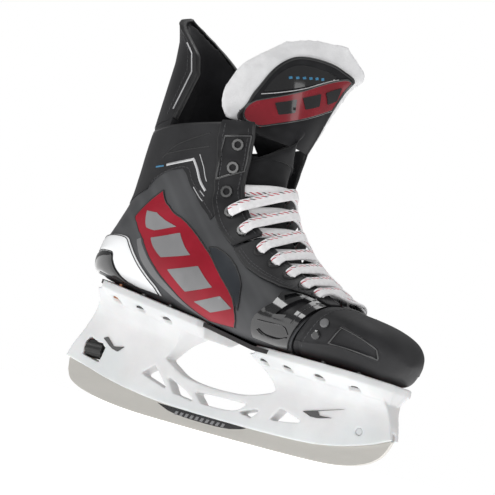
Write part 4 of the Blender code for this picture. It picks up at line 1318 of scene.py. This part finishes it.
def toe_cap():
    around = -1 + 2 * (np.arange(180) + 0.5) / 180
    rows = np.concatenate([np.linspace(0.0, 1.0, 14), np.linspace(1.1, 6.9, 60), [6.98]])
    a, b = np.meshgrid(rows, around, indexing="ij")
    outer = toe_shape(a, b, 0.0)
    outer[0] = toe_raw(rows[:1] * np.ones(180), around)
    inner = np.array((92.0, 0.0, 82.0)) + (outer - (92.0, 0.0, 82.0)) * (0.955, 0.943, 0.88)
    points, faces = grid_solid(inner, outer, wrap=True)
    count, last = outer.shape[0] * outer.shape[1], (outer.shape[0] - 1) * 180
    faces = [face for face in faces if not last <= min(face) < count <= max(face)]
    faces += [tuple(last + k for k in range(180)), tuple(count + last + k for k in range(180))]
    new_object("toe_shell", mesh_of("toe_shell", points, faces), "toe", ROOT, ["toe_cap"])
    for side, sign in SIDES:
        edge = mirrored(RECESS, sign)
        swept(
            f"toe_recess_edge_{side}", [cord_on(toe, edge + edge[:1], 0.0, TOE_SCALE, 1.5, 1.0)],
            "gloss",
        )
        line = [(0.5, t * sign) for t in np.linspace(0.30, 0.97, 30)]
        rows = stitches(toe, line, 0.1, TOE_SCALE)
        swept(f"toe_stitches_{side}", rows, "thread")


def vamp_arc():
    """The glossy arc where the tongue meets the toe."""
    angles = np.linspace(edge_angle(0.2) * 0.97, 2 * math.pi - edge_angle(0.2) * 0.97, 40)
    centres = section(np.full(40, 0.15), angles) + (-1.0, 0, 1.4)
    normals = np.stack([np.full(40, -0.1), np.sin(angles) * 0.6, -np.cos(angles)], -1)
    swept("vamp_arc", [sweep(centres, normals, oval(7.5, 3.4, 14))], "gloss")


# ---------------------------------------------------------------- laces


def lace_strand(start, end, side, lift):
    """From the eyelet at start, over the throat, and under the far facing to the eyelet at end."""
    middle = (start + end) / 2
    down = min(0.3, (end - start) / 4)
    places = [
        (boot(start, EYELET_T * side, -1.5), boot(start, EYELET_T * side, 1.0)),
        (boot(start, EYELET_T * side, 3.6), boot(start, EYELET_T * side, 5.0)),
        (boot(start + 0.12, 0.955 * side, 4.6), boot(start + 0.12, 0.955 * side, 5.6)),
        (boot(start + 0.2, 1.0 * side, 4.4), boot(start + 0.2, 1.0 * side, 5.4)),
    ]
    top, above = crest(middle, lift)
    places.append((top, above))
    far = -side
    places += [
        (boot(end - down, 1.01 * far, -0.9), boot(end - down, 1.01 * far, 0.2)),
        (boot(end - down / 2, 0.955 * far, -3.6), boot(end - down / 2, 0.955 * far, -2.6)),
        (boot(end, 0.91 * far, -4.4), boot(end, 0.91 * far, -3.4)),
    ]
    points = np.array([p for p, _ in places])
    ups = np.array([n - p for p, n in places])
    steps = np.linspace(0, len(places) - 1, 60)
    return sweep(spline(points, steps), spline(ups, steps), oval(8.6, 2.5, 14))


def crest(s, lift):
    station = spline(STATIONS, s)
    up = np.array((station[2] - station[0], 0.0, station[3] - station[1]))
    up /= np.linalg.norm(up)
    place = np.array((station[2], 0.0, station[3])) + up * lift
    return place, place + up


def laces():
    rows = LOWER_EYELETS[::-1] + UPPER_EYELETS[::-1][:3]
    strands = []
    for start, end in zip(rows, rows[1:]):
        strands.append(lace_strand(start, end, 1, 3.0))
        strands.append(lace_strand(start, end, -1, 5.4))
    first = rows[0]
    places = [boot(first, -EYELET_T, -1.5), boot(first, -EYELET_T, 3.8), boot(first, -0.98, 5.0)]
    places += [crest(first - 0.1, 3.4)[0]] + [p * (1, -1, 1) for p in places[::-1]]
    normals = np.array(
        [
            (0, -0.6, 0.8), (0, -0.6, 0.8), (0, -0.4, 0.9), (0, 0, 1), (0, 0.4, 0.9), (0, 0.6, 0.8),
            (0, 0.6, 0.8),
        ]
    )
    steps = np.linspace(0, 6, 60)
    strands.append(sweep(spline(places, steps), spline(normals, steps), oval(8.6, 2.5, 14)))
    swept("laces", strands, "lace", replaced=["lace"], with_uv=True)


# ---------------------------------------------------------------- tongue, collar lining and tendon guard

TONGUE_COVER = [
    (-.96, .146), (-.76, .312), (-.67, .483), (-.54, .688), (-.33, .801), (-.05, .833), (.42, .820),
    (.67, .783),
    (.88, .738), (.90, .675), (.89, .427), (.89, .299), (.88, .03), (-.9, .03),
]
TONGUE_BAND = [
    (-.72, .372), (-.52, .438), (.03, .574), (.63, .710), (.77, .733), (.87, .716), (.84, .446),
    (.15, .338),
    (-.30, .232), (-.67, .118), (-.86, .146),
]
TONGUE_PANEL = [
    (-.58, .495), (-.51, .630), (-.34, .728), (-.14, .770), (.27, .762), (.54, .729), (.54, .698),
    (.02, .601),
]
TONGUE_BARS = [
    [(-.40, .408), (-.10, .476), (-.09, .357), (-.33, .306)],
    [(-.01, .499), (.32, .560), (.37, .457), (.08, .405)],
    [(.43, .575), (.74, .650), (.80, .531), (.59, .485)],
]


def puffed(made, voxel, pressure, most):
    """Swells a padded piece with Cloth and keeps the result; a point moves by most at the most."""
    skin = made.modifiers.new("skin", "REMESH")
    skin.mode = "VOXEL"
    skin.voxel_size = voxel * MM
    settle(made)
    before = points_of(made.data)
    cloth = made.modifiers.new("cloth", "CLOTH")
    cloth.settings.quality = 5
    cloth.settings.use_pressure = True
    cloth.settings.uniform_pressure_force = pressure
    cloth.settings.effector_weights.gravity = 0
    cloth.settings.tension_stiffness = 25
    cloth.settings.compression_stiffness = 25
    cloth.settings.bending_stiffness = 2
    scene = bpy.context.scene
    for number in range(1, 21):
        scene.frame_set(number)
    settle(made)
    scene.frame_set(1)
    moved = points_of(made.data) - before
    reach = np.linalg.norm(moved, axis=-1, keepdims=True)
    moved *= np.minimum(1, most * MM / np.maximum(reach, 1e-9))
    made.data.vertices.foreach_set("co", (before + moved).ravel())
    finer = made.modifiers.new("finer", "SUBSURF")
    finer.levels = finer.render_levels = 1
    settle(made)
    made.data.shade_smooth()


def points_of(mesh):
    points = np.empty(len(mesh.vertices) * 3)
    mesh.vertices.foreach_get("co", points)
    return points.reshape(-1, 3)


def pad(
    name, surface, rows, columns, low, high, look, body, replaced, voxel=3.0, pressure=3.0,
    most=1.5,
):
    """A padded piece: a closed slab swollen with Cloth."""
    a, b = np.meshgrid(rows, columns, indexing="ij")
    points, faces = grid_solid(surface(a, b, low), surface(a, b, high))
    loose = placed(name + "_loose", mesh_of(name, points, faces))
    puffed(loose, voxel, pressure, most)
    new_object(name, taken(loose), look, body, replaced)


def tongue_stack():
    pad(
        "tongue_felt_pad", tongue, np.linspace(-1.10, 1.12, 44), np.linspace(0.16, 1.02, 50), -4.6, -0.5,
        "felt", TONGUE, ["tongue_felt"], 2.0,
    )
    patch(
        "tongue_face", tongue, TONGUE_COVER, 0.6, 2.0, TONGUE_SCALE, "tongue", "tongue_synthetic",
        TONGUE, ["tongue_cover"], 0.5,
    )
    swept(
        "tongue_face_edge", [cord_on(tongue, TONGUE_COVER[:-1], 1.5, TONGUE_SCALE, 2.6, 2.0, True)],
        "edge", TONGUE,
    )
    patch(
        "tongue_band", tongue, TONGUE_BAND, 1.6, 3.0, TONGUE_SCALE, "red_gloss", "red_gloss", TONGUE,
        ["tongue_badge"], 0.4,
    )
    rim = list(rounded(TONGUE_BAND, 2, 0.03))
    swept(
        "tongue_band_edge", [cord_on(tongue, rim + rim[:1], 2.6, TONGUE_SCALE, 1.4, 1.4)], "gloss",
        TONGUE,
    )
    patch(
        "tongue_panel", tongue, TONGUE_PANEL, 1.6, 2.6, TONGUE_SCALE, "gloss", "gloss_black", TONGUE,
        edge=0.3,
    )
    swept(
        "tongue_line",
        [cord_on(tongue, [(-.60, .47), (.04, .588), (.60, .712)], 2.6, TONGUE_SCALE, 0.7, 0.6)],
        "silver", TONGUE,
    )
    for number, bar in enumerate(TONGUE_BARS):
        patch(
            f"tongue_bar_{number}", tongue, bar, 2.6, 3.8, TONGUE_SCALE, "gloss", "gloss_black", TONGUE,
            edge=0.3,
        )
    marks = [
        cord_on(tongue, [(u, 0.665 + 0.05 * u), (u + 0.05, 0.672 + 0.05 * u)], 2.7, TONGUE_SCALE, 1.8, 0.4)
        for u in np.arange(-0.28, 0.3, 0.11)
    ]
    swept("tongue_marks", marks, "blue", TONGUE)


def tongue_neck():
    """The stretch between the tongue's base in the throat and its flexing top."""
    low_s, high_v, columns = 12.6, 0.26, np.linspace(-1, 1, 26)
    angle = math.pi + columns * (math.pi - 0.86 * edge_angle(low_s))
    layers = []
    for inner, outer in ((-10.6, -1.0), (-5.8, 1.2)):
        low = lifted(section, low_s, angle, inner)
        high = tongue(columns * 0.86, np.full(26, high_v), outer)
        share = np.linspace(0, 1, 14)[:, None, None]
        crown = (1.0 - 0.4 * columns[None, :, None] ** 2) * (4.0, 0, 1.0)
        swell = np.sin(share * math.pi) * (crown + columns[None, :, None] * (0, 3.0, 0))
        layers.append(low + (high - low) * share + swell)
    points, faces = grid_solid(*layers)
    made = soften(
        new_object(
            "tongue_neck", mesh_of("tongue_neck", points, faces), "tongue", ROOT,
        ),
        0.6,
    )
    made.parent = None
    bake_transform(made)


def tongue_lower():
    def surface(s, u, offset):
        angle = math.pi + u * (math.pi - 0.86 * edge_angle(s))
        return lifted(section, s, angle, offset)

    pad(
        "tongue_pad", surface, np.linspace(0.6, 13.1, 70), np.linspace(-0.97, 0.97, 26), -10.8, -7.2,
        "tongue", ROOT, ["tongue_base"], 2.5,
    )


def collar_lining():
    pad(
        "collar_pad", boot, np.linspace(9.7, 15.6, 40), np.linspace(-0.79, 0.79, 60), -7.8, -4.2,
        "lining", ROOT, ["ankle_liner"], 2.5,
    )


def tendon_guard():
    rows, columns = np.linspace(0, 1, 50), np.linspace(-1, 1, 60)
    slab(
        "tendon_shell", guard, rows, columns, -2.6, 0.0, "collar", TENDON, ["tendon_guard"],
        0.5,
    )
    pad(
        "tendon_pad", guard, np.linspace(0.01, 0.97, 40), np.linspace(-0.985, 0.985, 46), -6.2, -3.2,
        "lining", TENDON, ["tendon_lining"], 2.5,
    )
    rim = [(v, -1.0) for v in np.linspace(0.02, 1, 30)] + [(1.0, u) for u in np.linspace(-0.97, 0.97, 40)]
    rim += [(v, 1.0) for v in np.linspace(1, 0.02, 30)]
    swept("tendon_binding", [cord_on(guard, rim, -2.6, (80, 60), 3.0, 5.6)], "edge", TENDON)
    for side, sign in SIDES:
        line = [(v, 0.93 * sign) for v in np.linspace(0.12, 0.86, 30)]
        swept(
            f"tendon_piping_{side}", [cord_on(guard, line, 0.3, (80, 60), 1.1, 1.0)], "silver",
            TENDON,
        )
        rows = stitches(guard, [(v, 0.85 * sign) for v in np.linspace(0.06, 0.92, 30)], 0.1, (80, 60))
        swept(f"tendon_stitches_{side}", rows, "thread", TENDON)


def tendon_web():
    """The band between the boot's collar and the tendon guard."""
    columns = np.linspace(-1, 1, 50)
    layers = []
    for offset in (-2.3, -0.5):
        low, high = boot(15.4, columns * 0.47, offset), guard(0.14, columns * 0.96, offset)
        layers.append(low + (high - low) * np.linspace(0, 1, 14)[:, None, None])
    points, faces = grid_solid(*layers)
    made = new_object("tendon_web", mesh_of("tendon_web", points, faces), "collar", ROOT)
    made.parent = None
    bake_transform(made)


# ---------------------------------------------------------------- CAD nodes that stay


def sole_plate():
    """The outsole, a little narrower than the flanges that hold it."""
    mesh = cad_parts["outsole"].data.copy()
    mesh.transform(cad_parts["outsole"].matrix_world)
    mesh.transform(Matrix.Translation((0.002, 0, 0)) @ Matrix.Diagonal((0.955, 0.93, 1, 1)))
    soften(new_object("sole_plate", mesh, "sole", ROOT, ["outsole"]), 0.6)


def kept_nodes():
    looks = {
        "footbed": ("lining", 0.8), "lock_wheel": ("wheel", 0.3), "lock_hook": ("wheel", 0.2),
        "front_pin": ("nylon", 0.3),
    }
    for name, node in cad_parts.items():
        if name in looks:
            look, edge = looks[name]
        elif name.startswith("eyelet"):
            look, edge = "bolt", 0.25
        elif name.startswith("vent"):
            look, edge = ("strip" if "front" in name else "gloss"), 0.3
        elif name.startswith("rivet"):
            look, edge = ("copper" if "rear" in name and name.endswith("1") else "bolt"), 0.2
        else:
            continue
        node.data.materials.clear()
        node.data.materials.append(LOOKS[look])
        soften(node, edge)


LOOKS = all_finishes()
add_camera()
add_studio()
holder()
steel()
holder_marks()
boot_body()
heel()
brackets()
facings()
collar_piping()
toe_cap()
vamp_arc()
laces()
tongue_lower()
tongue_stack()
tongue_neck()
collar_lining()
tendon_guard()
tendon_web()
sole_plate()
kept_nodes()
